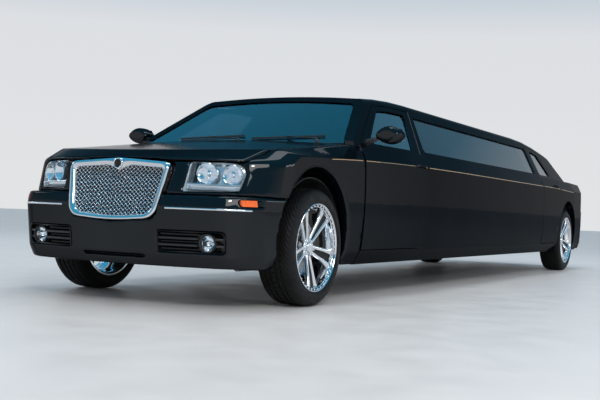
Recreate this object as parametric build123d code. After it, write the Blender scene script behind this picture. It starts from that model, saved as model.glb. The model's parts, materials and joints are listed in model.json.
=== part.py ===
from build123d import *
import math
import os

# A stretched four-door saloon of the long limousine kind, in millimetres.
# +X points forwards, +Y to the vehicle's left, +Z up. The origin lies on the
# ground under the centre of the vehicle. Stations along the body are counted
# from the front axle, forwards positive, and fx() turns them into X.

# Driving dimensions
LENGTH = 8555.0
SALOON_WHEELBASE = 3048.0
STRETCH = 3556.0
WHEELBASE = SALOON_WHEELBASE + STRETCH
TRACK = 1600.0
FRONT_OVERHANG = 885.0
ROOF_Z = 1500.0
FRONT_AXLE_X = LENGTH / 2 - FRONT_OVERHANG
REAR_AXLE = -WHEELBASE
TAIL = -(LENGTH - FRONT_OVERHANG)

# Wheels and tyres
TYRE_R = 364.0
TYRE_WIDTH = 245.0
AXLE_Z = TYRE_R
RIM_LIP_R = 272.0
RIM_WIDTH = 236.0
RIM_WALL = 9.0
HUB_R = 75.0
HUB_BORE_R = 32.06
SPINDLE_R = 32.0
DISC_R = 172.0
DISC_THICKNESS = 28.0
SPOKE_PAIRS = 5
SPOKE_SPREAD = 11.0
WHEEL_Y = TRACK / 2

# Panel gaps and walls
PANEL_GAP = 6.0
SEAT = 0.3
WALL = 90.0
FENDER_WALL = 62.0
PILLAR_WALL = 45.0
ROOF_WALL = 35.0
HOOD_SKIN = 22.0
LID_SKIN = 25.0
GLASS = 6.0

# Heights shared by all sections
FLOOR_Z = 238.0
FLOOR_TOP = 278.0
REAR_FLOOR_Z = 490.0
REAR_FLOOR_TOP = 515.0
ROCKER_Y = 862.0
SILL_Z = 327.0
SIDE_Z = 650.0
BUMPER_TOP = 652.0
TAIL_BUMPER_TOP = 728.0

# Greenhouse: the side glass lies in one inclined plane on each side
GLASS_BASE_Y = 872.0
GLASS_BASE_Z = 1062.0
GLASS_TOP_Y = 668.0
GLASS_TOP_Z = 1428.0
TUMBLEHOME = (GLASS_BASE_Y - GLASS_TOP_Y) / (GLASS_TOP_Z - GLASS_BASE_Z)
GREEN_BASE_Z = 1042.0
ROOF_EDGE_Z = 1440.0

# Windscreen and backlight: a shallow arc in plan, raked straight back
SCREEN_CENTRE = -432.0
SCREEN_CORNER = -505.0
SCREEN_RAKE = 1.72
BACKLIGHT_CENTRE = -6925.0
BACKLIGHT_CORNER = -6880.0
BACKLIGHT_RAKE = 1.38
SCREEN_PLAN_Z = 1030.0
SCREEN_PLAN_Y = 880.0

# Wheel arches
FRONT_ARCH = (25.0, 410.0, 445.0)
REAR_ARCH = (REAR_AXLE, 395.0, 440.0)
ARCH_LINER = 12.0

# Steering
KINGPIN_Y = 720.0
KINGPIN_R = 12.0
BALL_OFFSET_Z = 150.0
STEER_WHEEL = (-1150.0, 380.0, 905.0)
STEER_WHEEL_R = 188.0
COLUMN_TILT = 24.0

# Doors: the shut faces slant inwards, so that an edge clears its pillar as it swings
FRONT_DOOR_SLANT = 0.27
REAR_DOOR_SLANT = 0.34
SKIN_Y = 941.0
DOOR_INNER_Y = 632.0

# Door hinges: a cranked arm turns on a pin ahead of the door's shut line
HINGE_HEIGHTS = (455.0, 875.0)
HINGE_AHEAD = 40.0
HINGE_Y = 905.0
HINGE_PIN_R = 6.0
HINGE_EYE_R = 11.0
HINGE_TALL = 44.0
FRONT_SHUT = -648.0
REAR_SHUT = -5425.0
BELT_AT_FRONT = 1046.0
BELT_AT_REAR = 1064.0
HINGE_CLEAR_R = math.hypot(HINGE_AHEAD - PANEL_GAP, SKIN_Y - HINGE_Y) + 5.0

# Hood and boot lid hinges: eyes on the panel, pins between two cheeks
HOOD_PIN = (-450.0, 1040.0)
HOOD_HINGE_Y = 740.0
LID_PIN = (-6845.0, 1098.0)
LID_HINGE_Y = 150.0
PANEL_PIN_R = 3.5
PANEL_EYE_R = 8.0

# Number plate fixing: two holes across the lid's rear face
PLATE_SPACING = 178.0
PLATE_HOLE_R = 3.5
PLATE_Z = 930.0


def fx(station):
    """X of a station counted forwards from the front axle."""
    return FRONT_AXLE_X + station


def box(x0, x1, y0, y1, z0, z1):
    """Box between two stations, two widths and two heights."""
    size = (abs(x1 - x0), abs(y1 - y0), abs(z1 - z0))
    centre = (fx((x0 + x1) / 2), (y0 + y1) / 2, (z0 + z1) / 2)
    return Pos(*centre) * Box(*size)


def mirrored(shape):
    """The same shape on the vehicle's other side."""
    return shape.mirror(Plane.XZ)


def plan_face(points, z):
    """Flat face at height z from (station, y) corners."""
    corners = [(fx(x), y, z) for x, y in points]
    return Face(Wire.make_polygon([Vector(*c) for c in corners], close=True))


def side_face(points, y):
    """Flat face in the plane of one y from (station, z) corners."""
    corners = [(fx(x), y, z) for x, z in points]
    return Face(Wire.make_polygon([Vector(*c) for c in corners], close=True))


def front_face(points, station):
    """Flat face across the vehicle from (y, z) corners."""
    corners = [(fx(station), y, z) for y, z in points]
    return Face(Wire.make_polygon([Vector(*c) for c in corners], close=True))


def push(face, x, y, z):
    """Solid swept by a flat face along one straight vector."""
    return Solid.extrude(face, Vector(x, y, z))


def y_cylinder(station, z, radius, y0, y1):
    """Cylinder across the vehicle between two widths."""
    turn = Rot(90, 0, 0) * Cylinder(radius, abs(y1 - y0))
    return Pos(fx(station), (y0 + y1) / 2, z) * turn


def rod(start, end, radius):
    """Round bar between two (station, y, z) points."""
    a = Vector(fx(start[0]), start[1], start[2])
    b = Vector(fx(end[0]), end[1], end[2])
    plane = Plane(origin=a, z_dir=(b - a).normalized())
    return Solid.make_cylinder(radius, (b - a).length, plane)


def one(shape):
    """The largest solid of a boolean's result."""
    return max(shape.solids(), key=lambda s: s.volume)


def write(name, *shapes):
    """Write one node; several like solids share a node."""
    solids = [s for shape in shapes for s in shape.solids()]
    for solid in solids:
        solid.label = name
    body = solids[0] if len(solids) == 1 else Compound(children=solids)
    export_step(body, f"parts/{name}.step")


# Lower body sections, nose to tail. Columns: station, half width at the sill
# crease, half width at the widest, shoulder half width and height, belt half
# width and height, height of the crowned top
BODY_SECTIONS = (
    (900.0, 902.0, 930.0, 922.0, 903.0, 795.0, 884.0, 888.0),
    (-480.0, 912.0, 940.5, 932.0, 940.0, 884.0, 1038.0, 1072.0),
    (-2000.0, 912.0, 940.5, 934.0, 966.0, 872.0, 1068.0, 1078.0),
    (-5400.0, 912.0, 940.5, 934.0, 970.0, 872.0, 1072.0, 1082.0),
    (-6900.0, 908.0, 938.0, 930.0, 962.0, 862.0, 1070.0, 1112.0),
    (-7690.0, 900.0, 925.0, 915.0, 950.0, 845.0, 1056.0, 1084.0),
)


def body_section(row, inset):
    """One closed section of the lower body, pulled in by inset at its sides."""
    station, sill_y, side_y, shoulder_y, shoulder_z, belt_y, belt_z, crown_z = row
    x = fx(station)
    right = [
        (ROCKER_Y - inset, FLOOR_Z),
        (sill_y - inset, SILL_Z),
        (side_y - inset, SIDE_Z),
        (shoulder_y - inset, shoulder_z),
        (belt_y - inset, belt_z),
    ]
    rocker, sill, side, shoulder, belt = [Vector(x, y, z) for y, z in right]
    m_rocker, m_sill, m_side, m_shoulder, m_belt = [Vector(x, -y, z) for y, z in right]
    edges = [
        Edge.make_line(m_rocker, rocker),
        Edge.make_line(rocker, sill),
        Edge.make_three_point_arc(sill, side, shoulder),
        Edge.make_line(shoulder, belt),
        Edge.make_three_point_arc(belt, Vector(x, 0, crown_z), m_belt),
        Edge.make_line(m_belt, m_shoulder),
        Edge.make_three_point_arc(m_shoulder, m_side, m_sill),
        Edge.make_line(m_sill, m_rocker),
    ]
    return Wire(edges)


def body_loft(inset=0.0):
    """Whole lower body from nose to tail."""
    return Solid.make_loft([body_section(row, inset) for row in BODY_SECTIONS], True)


# Nose, bumper and tail outlines in plan. Columns: station, half width
NOSE_PLAN = (
    (850.0, 0.0),
    (648.0, 733.0),
    (560.0, 850.0),
    (470.0, 915.0),
    (300.0, 960.0),
)
BUMPER_PLAN = (
    (885.0, 0.0),
    (796.0, 674.0),
    (703.0, 803.0),
    (600.0, 876.0),
    (300.0, 960.0),
)
TAIL_PLAN = (
    (-7640.0, 0.0),
    (-7525.0, 750.0),
    (-7440.0, 862.0),
    (-7300.0, 935.0),
    (-7150.0, 960.0),
)
TAIL_BUMPER_PLAN = (
    (TAIL, 0.0),
    (-7556.0, 780.0),
    (-7460.0, 880.0),
    (-7300.0, 938.0),
    (-7150.0, 960.0),
)

# Faces in side view, from the join of nose and bumper. Columns: height reached,
# how far the face leans back for each millimetre of height
NOSE_FACE = ((846.0, 0.24), (866.0, 0.80), (1240.0, 2.00))
BUMPER_LIP_Z = 580.0
BUMPER_ABOVE = ((BUMPER_TOP, 0.30),)
BUMPER_BELOW = ((308.0, 0.13), (180.0, 0.62))


def end_plan(rows, back, z):
    """Rounded end outline: an arc over the middle rows, then an arc round each corner."""
    centre, first, second, *rest = rows
    edges = [Edge.make_three_point_arc(
        Vector(fx(first[0]), first[1], z), Vector(fx(centre[0]), 0, z), Vector(fx(first[0]), -first[1], z))]
    for side in (1, -1):
        a, b, c = [Vector(fx(x), side * y, z) for x, y in (first, second, rest[0])]
        edges.append(Edge.make_three_point_arc(a, b, c))
        tail = list(rest) + [(back, rest[-1][1])]
        for (x0, y0), (x1, y1) in zip(tail, tail[1:]):
            edges.append(Edge.make_line(Vector(fx(x0), side * y0, z), Vector(fx(x1), side * y1, z)))
    edges.append(Edge.make_line(Vector(fx(back), rest[-1][1], z), Vector(fx(back), -rest[-1][1], z)))
    return Face(Wire(edges))


def stacked(rows, back, base, steps):
    """Prism over an end outline whose lean changes at set heights."""
    solid, x, z = None, 0.0, base
    for height, lean in steps:
        move = -lean * abs(height - z)
        face = end_plan([(px + x, py) for px, py in rows], back, z)
        stage = push(face, move, 0, height - z)
        solid = stage if solid is None else solid.fuse(stage)
        x, z = x + move, height
    return solid


def nose_prism(back=-3000.0, shift=0.0):
    """Everything behind the leaning face and rounded brow of the nose."""
    rows = [(x + shift, y) for x, y in NOSE_PLAN]
    lower = push(end_plan(rows, back, BUMPER_TOP), 0, 0, -500)
    return stacked(rows, back, BUMPER_TOP, NOSE_FACE).fuse(lower)


def bumper_prism(shift=0.0):
    """Everything behind the bumper's face, which leans back above and below its lip."""
    rows = [(x + shift, y) for x, y in BUMPER_PLAN]
    lower = stacked(rows, -200.0, BUMPER_LIP_Z, BUMPER_BELOW)
    return lower.fuse(stacked(rows, -200.0, BUMPER_LIP_Z, BUMPER_ABOVE))


def tail_prism(rows, z0, z1, shift=0.0, back=2000.0):
    """Everything ahead of the tail's face between two heights."""
    rows = [(x + shift, y) for x, y in rows]
    return push(end_plan(rows, back, z0), 0, 0, z1 - z0)


# Greenhouse sections: the roof falls away by a square law past these stations
ROOF_FRONT = -2000.0
ROOF_REAR = -5100.0
FRONT_FALL = 6.5e-5
REAR_FALL = 6.0e-5
TUCK_START = -5400.0
TUCK = 0.030
GREEN_STATIONS = (-400.0, -800.0, -1100.0, -1400.0, -1700.0, -2000.0, -5100.0, -5500.0,
                  -5900.0, -6300.0, -6700.0, -7000.0)


def roof_drop(station):
    """How far the roof has fallen at a station."""
    if station > ROOF_FRONT:
        return FRONT_FALL * (station - ROOF_FRONT) ** 2
    if station < ROOF_REAR:
        return REAR_FALL * (station - ROOF_REAR) ** 2
    return 0.0


def green_y(z, station=-3000.0):
    """Half width of the side glass plane at a height."""
    tuck = TUCK * max(0.0, TUCK_START - station)
    return GLASS_BASE_Y - (z - GLASS_BASE_Z) * TUMBLEHOME - tuck


def green_section(station, side_inset, roof_inset):
    """Closed greenhouse section at one station."""
    x = fx(station)
    drop = roof_drop(station) + roof_inset
    edge_z = ROOF_EDGE_Z - drop
    edge_y = green_y(edge_z, station) - side_inset
    half = [
        (green_y(GREEN_BASE_Z, station) - side_inset, GREEN_BASE_Z),
        (edge_y, edge_z),
        (edge_y - 22.0, edge_z + 24.0),
        (edge_y - 75.0, edge_z + 37.0),
    ]
    base, edge, rail, crown = [Vector(x, y, z) for y, z in half]
    m_base, m_edge, m_rail, m_crown = [Vector(x, -y, z) for y, z in half]
    top = Vector(x, 0, ROOF_Z - drop)
    edges = [
        Edge.make_line(m_base, base),
        Edge.make_line(base, edge),
        Edge.make_three_point_arc(edge, rail, crown),
        Edge.make_three_point_arc(crown, top, m_crown),
        Edge.make_three_point_arc(m_crown, m_rail, m_edge),
        Edge.make_line(m_edge, m_base),
    ]
    return Wire(edges)


def green_loft(side_inset=0.0, roof_inset=0.0):
    """Greenhouse from end to end, before the two screens cut it off."""
    return Solid.make_loft([green_section(s, side_inset, roof_inset) for s in GREEN_STATIONS], True)


def raked(front=0.0, rear=0.0):
    """Space between windscreen and backlight, pulled in by the two offsets along X."""
    z = SCREEN_PLAN_Z
    rise = 560.0
    y = SCREEN_PLAN_Y + 40.0
    ahead = Face(Wire([
        Edge.make_three_point_arc(
            Vector(fx(SCREEN_CORNER - front), y, z), Vector(fx(SCREEN_CENTRE - front), 0, z),
            Vector(fx(SCREEN_CORNER - front), -y, z)),
        Edge.make_line(Vector(fx(SCREEN_CORNER - front), -y, z), Vector(fx(-9000), -y, z)),
        Edge.make_line(Vector(fx(-9000), -y, z), Vector(fx(-9000), y, z)),
        Edge.make_line(Vector(fx(-9000), y, z), Vector(fx(SCREEN_CORNER - front), y, z)),
    ]))
    behind = Face(Wire([
        Edge.make_three_point_arc(
            Vector(fx(BACKLIGHT_CORNER + rear), y, z), Vector(fx(BACKLIGHT_CENTRE + rear), 0, z),
            Vector(fx(BACKLIGHT_CORNER + rear), -y, z)),
        Edge.make_line(Vector(fx(BACKLIGHT_CORNER + rear), -y, z), Vector(fx(1500), -y, z)),
        Edge.make_line(Vector(fx(1500), -y, z), Vector(fx(1500), y, z)),
        Edge.make_line(Vector(fx(1500), y, z), Vector(fx(BACKLIGHT_CORNER + rear), y, z)),
    ]))
    return push(ahead, -SCREEN_RAKE * rise, 0, rise) & push(behind, BACKLIGHT_RAKE * rise, 0, rise)


# Door and window outlines in side view. Columns: station, height
FRONT_DOOR = ((FRONT_SHUT + 40.0, 340.0), (FRONT_SHUT + 40.0, 1022.0), (-1240.0, 1384.0), (-1500.0, 1406.0),
              (-1985.0, 1416.0), (-1800.0, 1064.0), (-1800.0, 340.0))
REAR_DOOR_TOP = ((REAR_SHUT + 40.0, 340.0), (REAR_SHUT + 40.0, 909.0), (-5515.0, 1412.0), (-5930.0, 1374.0),
                 (-6200.0, 1075.0))
REAR_DOOR_ARCH_R = 495.0
FRONT_GLASS = ((-850.0, 1078.0), (-1690.0, 1084.0), (-1862.0, 1378.0), (-1520.0, 1370.0), (-1290.0, 1350.0))
STRETCH_GLASS = ((-1920.0, 1090.0), (-5345.0, 1100.0), (-5425.0, 1378.0), (-2048.0, 1378.0))
REAR_GLASS = ((-5542.0, 1100.0), (-6085.0, 1100.0), (-5905.0, 1338.0), (-5602.0, 1368.0))


def skin_y(station, z):
    """Half width of the outer skin at a height, near enough for the shut lines."""
    if z > GLASS_BASE_Z:
        return green_y(z, station)
    if z > 966.0:
        return 934.0 - (z - 966.0) * 62.0 / 96.0
    return 934.0 if z > 500.0 else 918.0


def door_prism(points, slant, arch=False):
    """Solid inside a door's shut line. Its faces slant forwards towards the cabin."""
    moved = [(x - slant * (SKIN_Y + 60.0 - skin_y(x, z)), z) for x, z in points]
    y = SKIN_Y + 60.0
    corners = [Vector(fx(x), y, z) for x, z in moved]
    edges = [Edge.make_line(a, b) for a, b in zip(corners, corners[1:])]
    if arch:
        top, low = corners[-1], corners[0]
        centre_x = REAR_ARCH[0] - slant * (SKIN_Y + 60.0 - 925.0)
        radius = REAR_DOOR_ARCH_R - arch
        high_z, low_z = 700.0, points[0][1]

        def on_arch(z):
            reach = math.sqrt(radius ** 2 - (z - REAR_ARCH[1]) ** 2)
            return Vector(fx(centre_x + reach), y, z)

        edges.append(Edge.make_line(top, on_arch(high_z)))
        edges.append(Edge.make_three_point_arc(on_arch(high_z), on_arch(500.0), on_arch(low_z)))
        edges.append(Edge.make_line(on_arch(low_z), low))
    else:
        edges.append(Edge.make_line(corners[-1], corners[0]))
    face = Face(Wire(edges))
    depth = SKIN_Y + 60.0 - DOOR_INNER_Y
    return push(face, slant * depth, -depth, 0)


def grown(points, by):
    """A convex outline moved out by one distance."""
    count = len(points)
    area = sum(points[i][0] * points[(i + 1) % count][1] - points[(i + 1) % count][0] * points[i][1]
               for i in range(count))
    sign = 1.0 if area > 0 else -1.0
    lines = []
    for (x0, z0), (x1, z1) in zip(points, points[1:] + points[:1]):
        length = math.hypot(x1 - x0, z1 - z0)
        nx, nz = (z1 - z0) / length * sign, -(x1 - x0) / length * sign
        lines.append((x0 + nx * by, z0 + nz * by, x1 - x0, z1 - z0))
    out = []
    for (ax, az, adx, adz), (bx, bz, bdx, bdz) in zip(lines[-1:] + lines[:-1], lines):
        cross = adx * bdz - adz * bdx
        t = ((bx - ax) * bdz - (bz - az) * bdx) / cross
        out.append((ax + adx * t, az + adz * t))
    return tuple(out)


def rear_door_points(by):
    """Rear door shut line, grown on its straight sides."""
    closed = REAR_DOOR_TOP + ((-6110.0, 340.0),)
    return grown(closed, by)[:-1]


def window_prism(points, y0, y1):
    """Straight window cut through one side."""
    return push(side_face(points, y0), 0, y1 - y0, 0)


def rounded_window(points, by, radius=28.0):
    """Window cut with rounded corners, grown by a margin, on the left side."""
    solid = window_prism(grown(points, by), 400.0, 1000.0)
    upright = [e for e in solid.edges() if abs(e.tangent_at(0.5).Y) > 0.99]
    return solid.fillet(radius, upright)


# Shared solids that the panels are carved from
LOWER = body_loft()
LOWER_IN = body_loft(WALL)
NOSE = LOWER & nose_prism()
TAIL_UPPER = LOWER & tail_prism(TAIL_PLAN, TAIL_BUMPER_TOP, 1300.0)
GREEN = green_loft() & raked()
GREEN_IN = green_loft(PILLAR_WALL, ROOF_WALL) & raked(60.0, 50.0)

# Engine bay, boot and cabin
BAY_PLAN = (
    (-446.0, -780.0),
    (300.0, -765.0),
    (480.0, -720.0),
    (600.0, -640.0),
    (680.0, -440.0),
    (735.0, 0.0),
    (680.0, 440.0),
    (600.0, 640.0),
    (480.0, 720.0),
    (300.0, 765.0),
    (-446.0, 780.0),
)
COWL_Y = 811.0
BULKHEAD = -6360.0
BOOT_FRONT = -6852.0
DECK_EDGE = -6833.0
BOOT_REAR = -7560.0
BOOT_PANEL = -7450.0
BOOT_PANEL_SKIN = 25.0
COVE_Y = 789.7
HOOD_REAR = -440.0
HOOD_LIP_Z = 851.0
HOOD_PLAN = (
    (HOOD_REAR, -848.0),
    (440.0, -778.0),
    (640.0, -722.0),
    (900.0, -640.0),
    (900.0, 640.0),
    (640.0, 722.0),
    (440.0, 778.0),
    (HOOD_REAR, 848.0),
)
SPLIT_FRONT = -560.0
FENDER_REAR = FRONT_SHUT + PANEL_GAP
QUARTER_BUMPER = -7310.0

GRILLE_OUTLINE = (
    (-368.0, 836.0),
    (-300.0, 848.0),
    (0.0, 858.0),
    (300.0, 848.0),
    (368.0, 836.0),
    (318.0, 545.0),
    (285.0, 510.0),
    (0.0, 487.0),
    (-285.0, 510.0),
    (-318.0, 545.0),
)
GRILLE_LEAN = 0.21
GRILLE_SEAT = 1.0
GRILLE_FACE = FRONT_OVERHANG
GRILLE_DEPTH = 60.0
GRILLE_FRAME = 30.0
MESH_ACROSS = 30.0
MESH_DOWN = 26.5
MESH_BAR = 7.0
MESH_CENTRE_Z = 662.0
MESH_LEAST_HOLE = 25.0

LAMP_OUTLINE = ((437.0, 671.0), (455.0, 845.0), (694.0, 842.0), (735.0, 826.0), (754.0, 785.0), (733.0, 680.0))
LAMP_DEPTH = 95.0
TAIL_LAMP = (690.0, 900.0, 745.0, 990.0)
TAIL_LAMP_DEPTH = 85.0
EXHAUST_TIP_Y = 560.0
FOG_LAMP = (734.0, 616.0, 381.0, 55.0)
FOG_RECESS = (316.0, 716.0, 328.0, 444.0)
LOWER_SLOT = (-230.0, 230.0, 286.0, 302.0)


def hood_region(by):
    """Plan prism of the hood, grown by a gap."""
    return push(plan_face(grown(HOOD_PLAN, by), 600.0), 0, 0, 700)


def door_hinge_room(shut):
    """Pockets beside a door's front edge, where its hinge arms swing."""
    pin = shut + HINGE_AHEAD
    pockets = [box(shut - 4, pin + 14, 800, HINGE_Y + 14, z - 30, z + 30) for z in HINGE_HEIGHTS]
    return pockets[0] + pockets[1]


def door_hinge_pins(shut):
    """Upright pins that stand in the pockets."""
    pins = [Pos(fx(shut + HINGE_AHEAD), HINGE_Y, z) * Cylinder(HINGE_PIN_R, 64) for z in HINGE_HEIGHTS]
    return pins


def door_hinge_arms(shut):
    """Cranked arms that join the door to its pins."""
    pin = shut + HINGE_AHEAD
    arms = None
    for z in HINGE_HEIGHTS:
        low, high = z - HINGE_TALL / 2, z + HINGE_TALL / 2
        arm = Pos(fx(pin), HINGE_Y, z) * Cylinder(HINGE_EYE_R, HINGE_TALL)
        arm = arm + box(pin - 9, pin + 9, 852, HINGE_Y, low, high)
        arm = arm + box(pin - 46, pin + 9, 852, 868, low, high)
        arm = arm - Pos(fx(pin), HINGE_Y, z) * Cylinder(HINGE_PIN_R + 0.06, HINGE_TALL + 2)
        arms = arm if arms is None else arms + arm
    return arms


def across(station, z, radius, y, width):
    """Short cylinder across the vehicle, centred at y."""
    return y_cylinder(station, z, radius, y - width / 2, y + width / 2)


def panel_eyes(pin, y, reach):
    """Two eyes on a panel's edge, with their bores."""
    eyes = None
    for side in (y, -y):
        eye = across(pin[0], pin[1], PANEL_EYE_R, side, 30.0)
        eye = eye + box(pin[0], pin[0] + reach, side - 15, side + 15, pin[1] - PANEL_EYE_R, pin[1] + 2)
        eye = eye - across(pin[0], pin[1], PANEL_PIN_R + 0.05, side, 34.0)
        eyes = eye if eyes is None else eyes + eye
    return eyes


def panel_cheeks(pin, y, low):
    """Cheeks each side of an eye, with the pin across them."""
    cheeks = None
    for side in (y, -y):
        pair = across(pin[0], pin[1], PANEL_PIN_R, side, 50.0)
        for end in (-20.5, 20.5):
            pair = pair + box(pin[0] - 4.5, pin[0] + 4.5, side + end - 4.5, side + end + 4.5, low, pin[1] + 4)
        cheeks = pair if cheeks is None else cheeks + pair
    return cheeks


def hood_panel():
    """Crowned top skin of the nose inside the hood's shut line, with its two hinge eyes."""
    skin = NOSE - Pos(-4, 0, -HOOD_SKIN) * NOSE
    skin = skin & hood_region(0.0) & box(-500, 1000, -900, 900, HOOD_LIP_Z, 1200)
    skin = skin - grille_prism(PANEL_GAP, 300.0, 600.0)
    return one(skin + panel_eyes(HOOD_PIN, HOOD_HINGE_Y, 16.0))


def hood_pocket():
    """Room under the hood's edge, taken out of the fenders."""
    skin = Pos(20, 0, 20) * NOSE - Pos(-10, 0, -HOOD_SKIN - 12.0) * NOSE
    return skin & hood_region(PANEL_GAP) & box(-500, 1000, -900, 900, HOOD_LIP_Z - PANEL_GAP, 1200)


def arch_cut(arch, y0, y1, extra=0.0):
    """Wheel arch cylinder on the left side."""
    station, z, radius = arch
    return y_cylinder(station, z, radius + extra, y0, y1)


def left_doors(gap):
    """Both left door prisms, grown by a gap. Below the belt the front edge is upright."""
    front = door_prism(grown(FRONT_DOOR, gap), FRONT_DOOR_SLANT)
    front = front - box(FRONT_SHUT + gap, 0, 0, 1200, 0, BELT_AT_FRONT - gap)
    rear = door_prism(rear_door_points(gap), REAR_DOOR_SLANT, arch=gap if gap else 0.001)
    rear = rear - box(REAR_SHUT + gap, REAR_SHUT + 400, 0, 1200, 0, BELT_AT_REAR - gap)
    return front, rear


FRONT_OPENING, REAR_OPENING = left_doors(PANEL_GAP)
FRONT_PRISM, REAR_PRISM = left_doors(0.0)
CABIN = (LOWER_IN & box(-500, BULKHEAD, -900, 900, FLOOR_TOP, 1046)) + GREEN_IN
LEFT = box(1000, -8000, 0, 1200, 100, 1700)


def lamp_solid(by):
    """Headlamp on the left, following the nose's face."""
    prism = push(front_face(grown(LAMP_OUTLINE, by), 200.0), 800, 0, 0)
    return prism & NOSE


def headlamps():
    """Left headlamp: a deep block behind a clear lens that follows the nose."""
    return one(lamp_solid(0.0) - nose_prism(shift=-LAMP_DEPTH))


def fender():
    """Left front fender with its nose panel, arch and hood ledge."""
    bay = push(plan_face(BAY_PLAN, 240.0), 0, 0, 1000)
    side = NOSE & box(SPLIT_FRONT - 120.0, 1000, 300, 1000, 200, 1300)
    side = side - bay - hood_pocket() - FRONT_OPENING
    side = side - arch_cut(FRONT_ARCH, 500, 1000)
    side = side - box(FRONT_ARCH[0], 1000, 0, 1000, 0, BUMPER_TOP + SEAT)
    side = side - lamp_solid(SEAT) - grille_prism(GRILLE_SEAT, 300.0, 700.0)
    side = side - box(SPLIT_FRONT - 200, SPLIT_FRONT, -1000, 1000, 1030 - SEAT, 1300)
    inner = box(-447, 500, 500, SKIN_Y - FENDER_WALL - 4.0, 200, 880)
    side = side - inner - box(-700, -446, 0, 850.3, 200, 1300)
    side = side - box(-700, FENDER_REAR, 0, 1000, 0, 1300) - door_hinge_room(FRONT_SHUT)
    for pin in door_hinge_pins(FRONT_SHUT):
        side = side + pin
    return one(side)


def bumper():
    """Front bumper: outer wall and shelf, notched for the grille, with two lamp recesses."""
    shape = LOWER & bumper_prism()
    shape = shape & box(100, 1000, -1000, 1000, 200, BUMPER_TOP)
    for side in (1, -1):
        shape = shape - y_cylinder(FRONT_ARCH[0], FRONT_ARCH[1], FRONT_ARCH[2] + 2.0, side * 300, side * 1000)
    hollow = bumper_prism(-62.0) & box(-300, 1000, -868, 868, 100, BUMPER_TOP - 14.0)
    shelf = nose_prism(shift=-70.0) & box(-3000, 900, -862, 862, 500, 900)
    shape = shape - hollow - shelf - grille_prism(SEAT)
    y0, y1, z0, z1 = FOG_RECESS
    behind = bumper_prism(-45.0)
    shape = shape - (box(500, 1000, *LOWER_SLOT) - behind)
    for side in (1, -1):
        recess = box(500, 1000, side * y0, side * y1, z0, z1) - behind
        shape = shape - recess
        for slat in (1, 2):
            z = z0 + (z1 - z0) * slat / 3
            bar = box(500, 1000, side * (y0 - 5), side * (FOG_LAMP[1] - FOG_LAMP[3] - 6.0), z - 6, z + 6)
            shape = shape + (bar & bumper_prism(-14.0) - bumper_prism(-50.0))
        seat = Pos(fx(FOG_LAMP[0] - 45), side * FOG_LAMP[1], FOG_LAMP[2]) * (Rot(0, 90, 0) * Cylinder(FOG_LAMP[3] + SEAT, 110))
        shape = shape - seat
    return one(shape)


def grille_prism(by, station=700.0, depth=260.0):
    """Leaning prism of the grille's outline."""
    low = GRILLE_OUTLINE[7][1]
    points = grown(GRILLE_OUTLINE, by)
    corners = [Vector(fx(station - (z - low) * GRILLE_LEAN), y, z) for y, z in points]
    face = Face(Wire.make_polygon(corners, close=True))
    return push(face, depth, 0, 0)


def clipped(points, outline):
    """The part of a convex polygon that lies inside a convex outline."""
    count = len(outline)
    for i in range(count):
        (ay, az), (by, bz) = outline[i], outline[(i + 1) % count]
        kept = []
        for j, (qy, qz) in enumerate(points):
            py, pz = points[j - 1]
            p_in = (by - ay) * (pz - az) - (bz - az) * (py - ay)
            q_in = (by - ay) * (qz - az) - (bz - az) * (qy - ay)
            if (p_in < 0) != (q_in < 0):
                t = p_in / (p_in - q_in)
                kept.append((py + (qy - py) * t, pz + (qz - pz) * t))
            if q_in <= 0:
                kept.append((qy, qz))
        points = kept
        if len(points) < 3:
            return []
    return points


def area(points):
    """Area of a polygon."""
    turned = points[1:] + points[:1]
    return abs(sum(a[0] * b[1] - b[0] * a[1] for a, b in zip(points, turned))) / 2


def woven_field(station):
    """Mesh panel: a thin leaning plate with rows of diamond openings."""
    low = GRILLE_OUTLINE[7][1]
    edge = list(grown(GRILLE_OUTLINE, -GRILLE_FRAME + 4.0))
    opening = list(grown(GRILLE_OUTLINE, -GRILLE_FRAME - 1.0))
    half_y = MESH_ACROSS / 2 - MESH_BAR * 0.68
    half_z = half_y * MESH_DOWN / MESH_ACROSS

    def wire(points):
        corners = [Vector(fx(station - (z - low) * GRILLE_LEAN), y, z) for y, z in points]
        return Wire.make_polygon(corners, close=True)

    holes = []
    for row in range(-14, 15):
        for column in range(-13, 14):
            y = (column + (row % 2) / 2) * MESH_ACROSS
            z = MESH_CENTRE_Z + row * MESH_DOWN / 2
            diamond = [(y + half_y, z), (y, z + half_z), (y - half_y, z), (y, z - half_z)]
            hole = clipped(diamond, opening)
            if hole and area(hole) > MESH_LEAST_HOLE:
                holes.append(wire(hole))
    return push(Face(wire(edge), holes), MESH_BAR, 0, 0)


def grille():
    """Bright surround with a diagonal mesh across it."""
    back = GRILLE_FACE - GRILLE_DEPTH
    frame = grille_prism(0.0, back, GRILLE_DEPTH) - grille_prism(-GRILLE_FRAME, back - 10, GRILLE_DEPTH + 20)
    lattice = woven_field(back + 18.0)
    emblem_z = GRILLE_OUTLINE[2][1] - 31.0
    lean_x = (emblem_z - GRILLE_OUTLINE[7][1]) * GRILLE_LEAN
    emblem = Pos(fx(GRILLE_FACE - lean_x - 10.0), 0, emblem_z) * (Rot(0, 90 - 10, 0) * Cylinder(32.0, 30.0))
    return frame + lattice + emblem


def radiator():
    """Radiator core with its two tanks."""
    core = box(595, 645, -360, 360, 350, 800)
    return core + box(582, 658, -420, -360, 340, 810) + box(582, 658, 360, 420, 340, 810)


def fog_lamp(side):
    """Round lamp in the outer end of the recess."""
    body = Pos(fx(FOG_LAMP[0] - 45), side * FOG_LAMP[1], FOG_LAMP[2]) * (Rot(0, 90, 0) * Cylinder(FOG_LAMP[3], 90))
    return body


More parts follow.
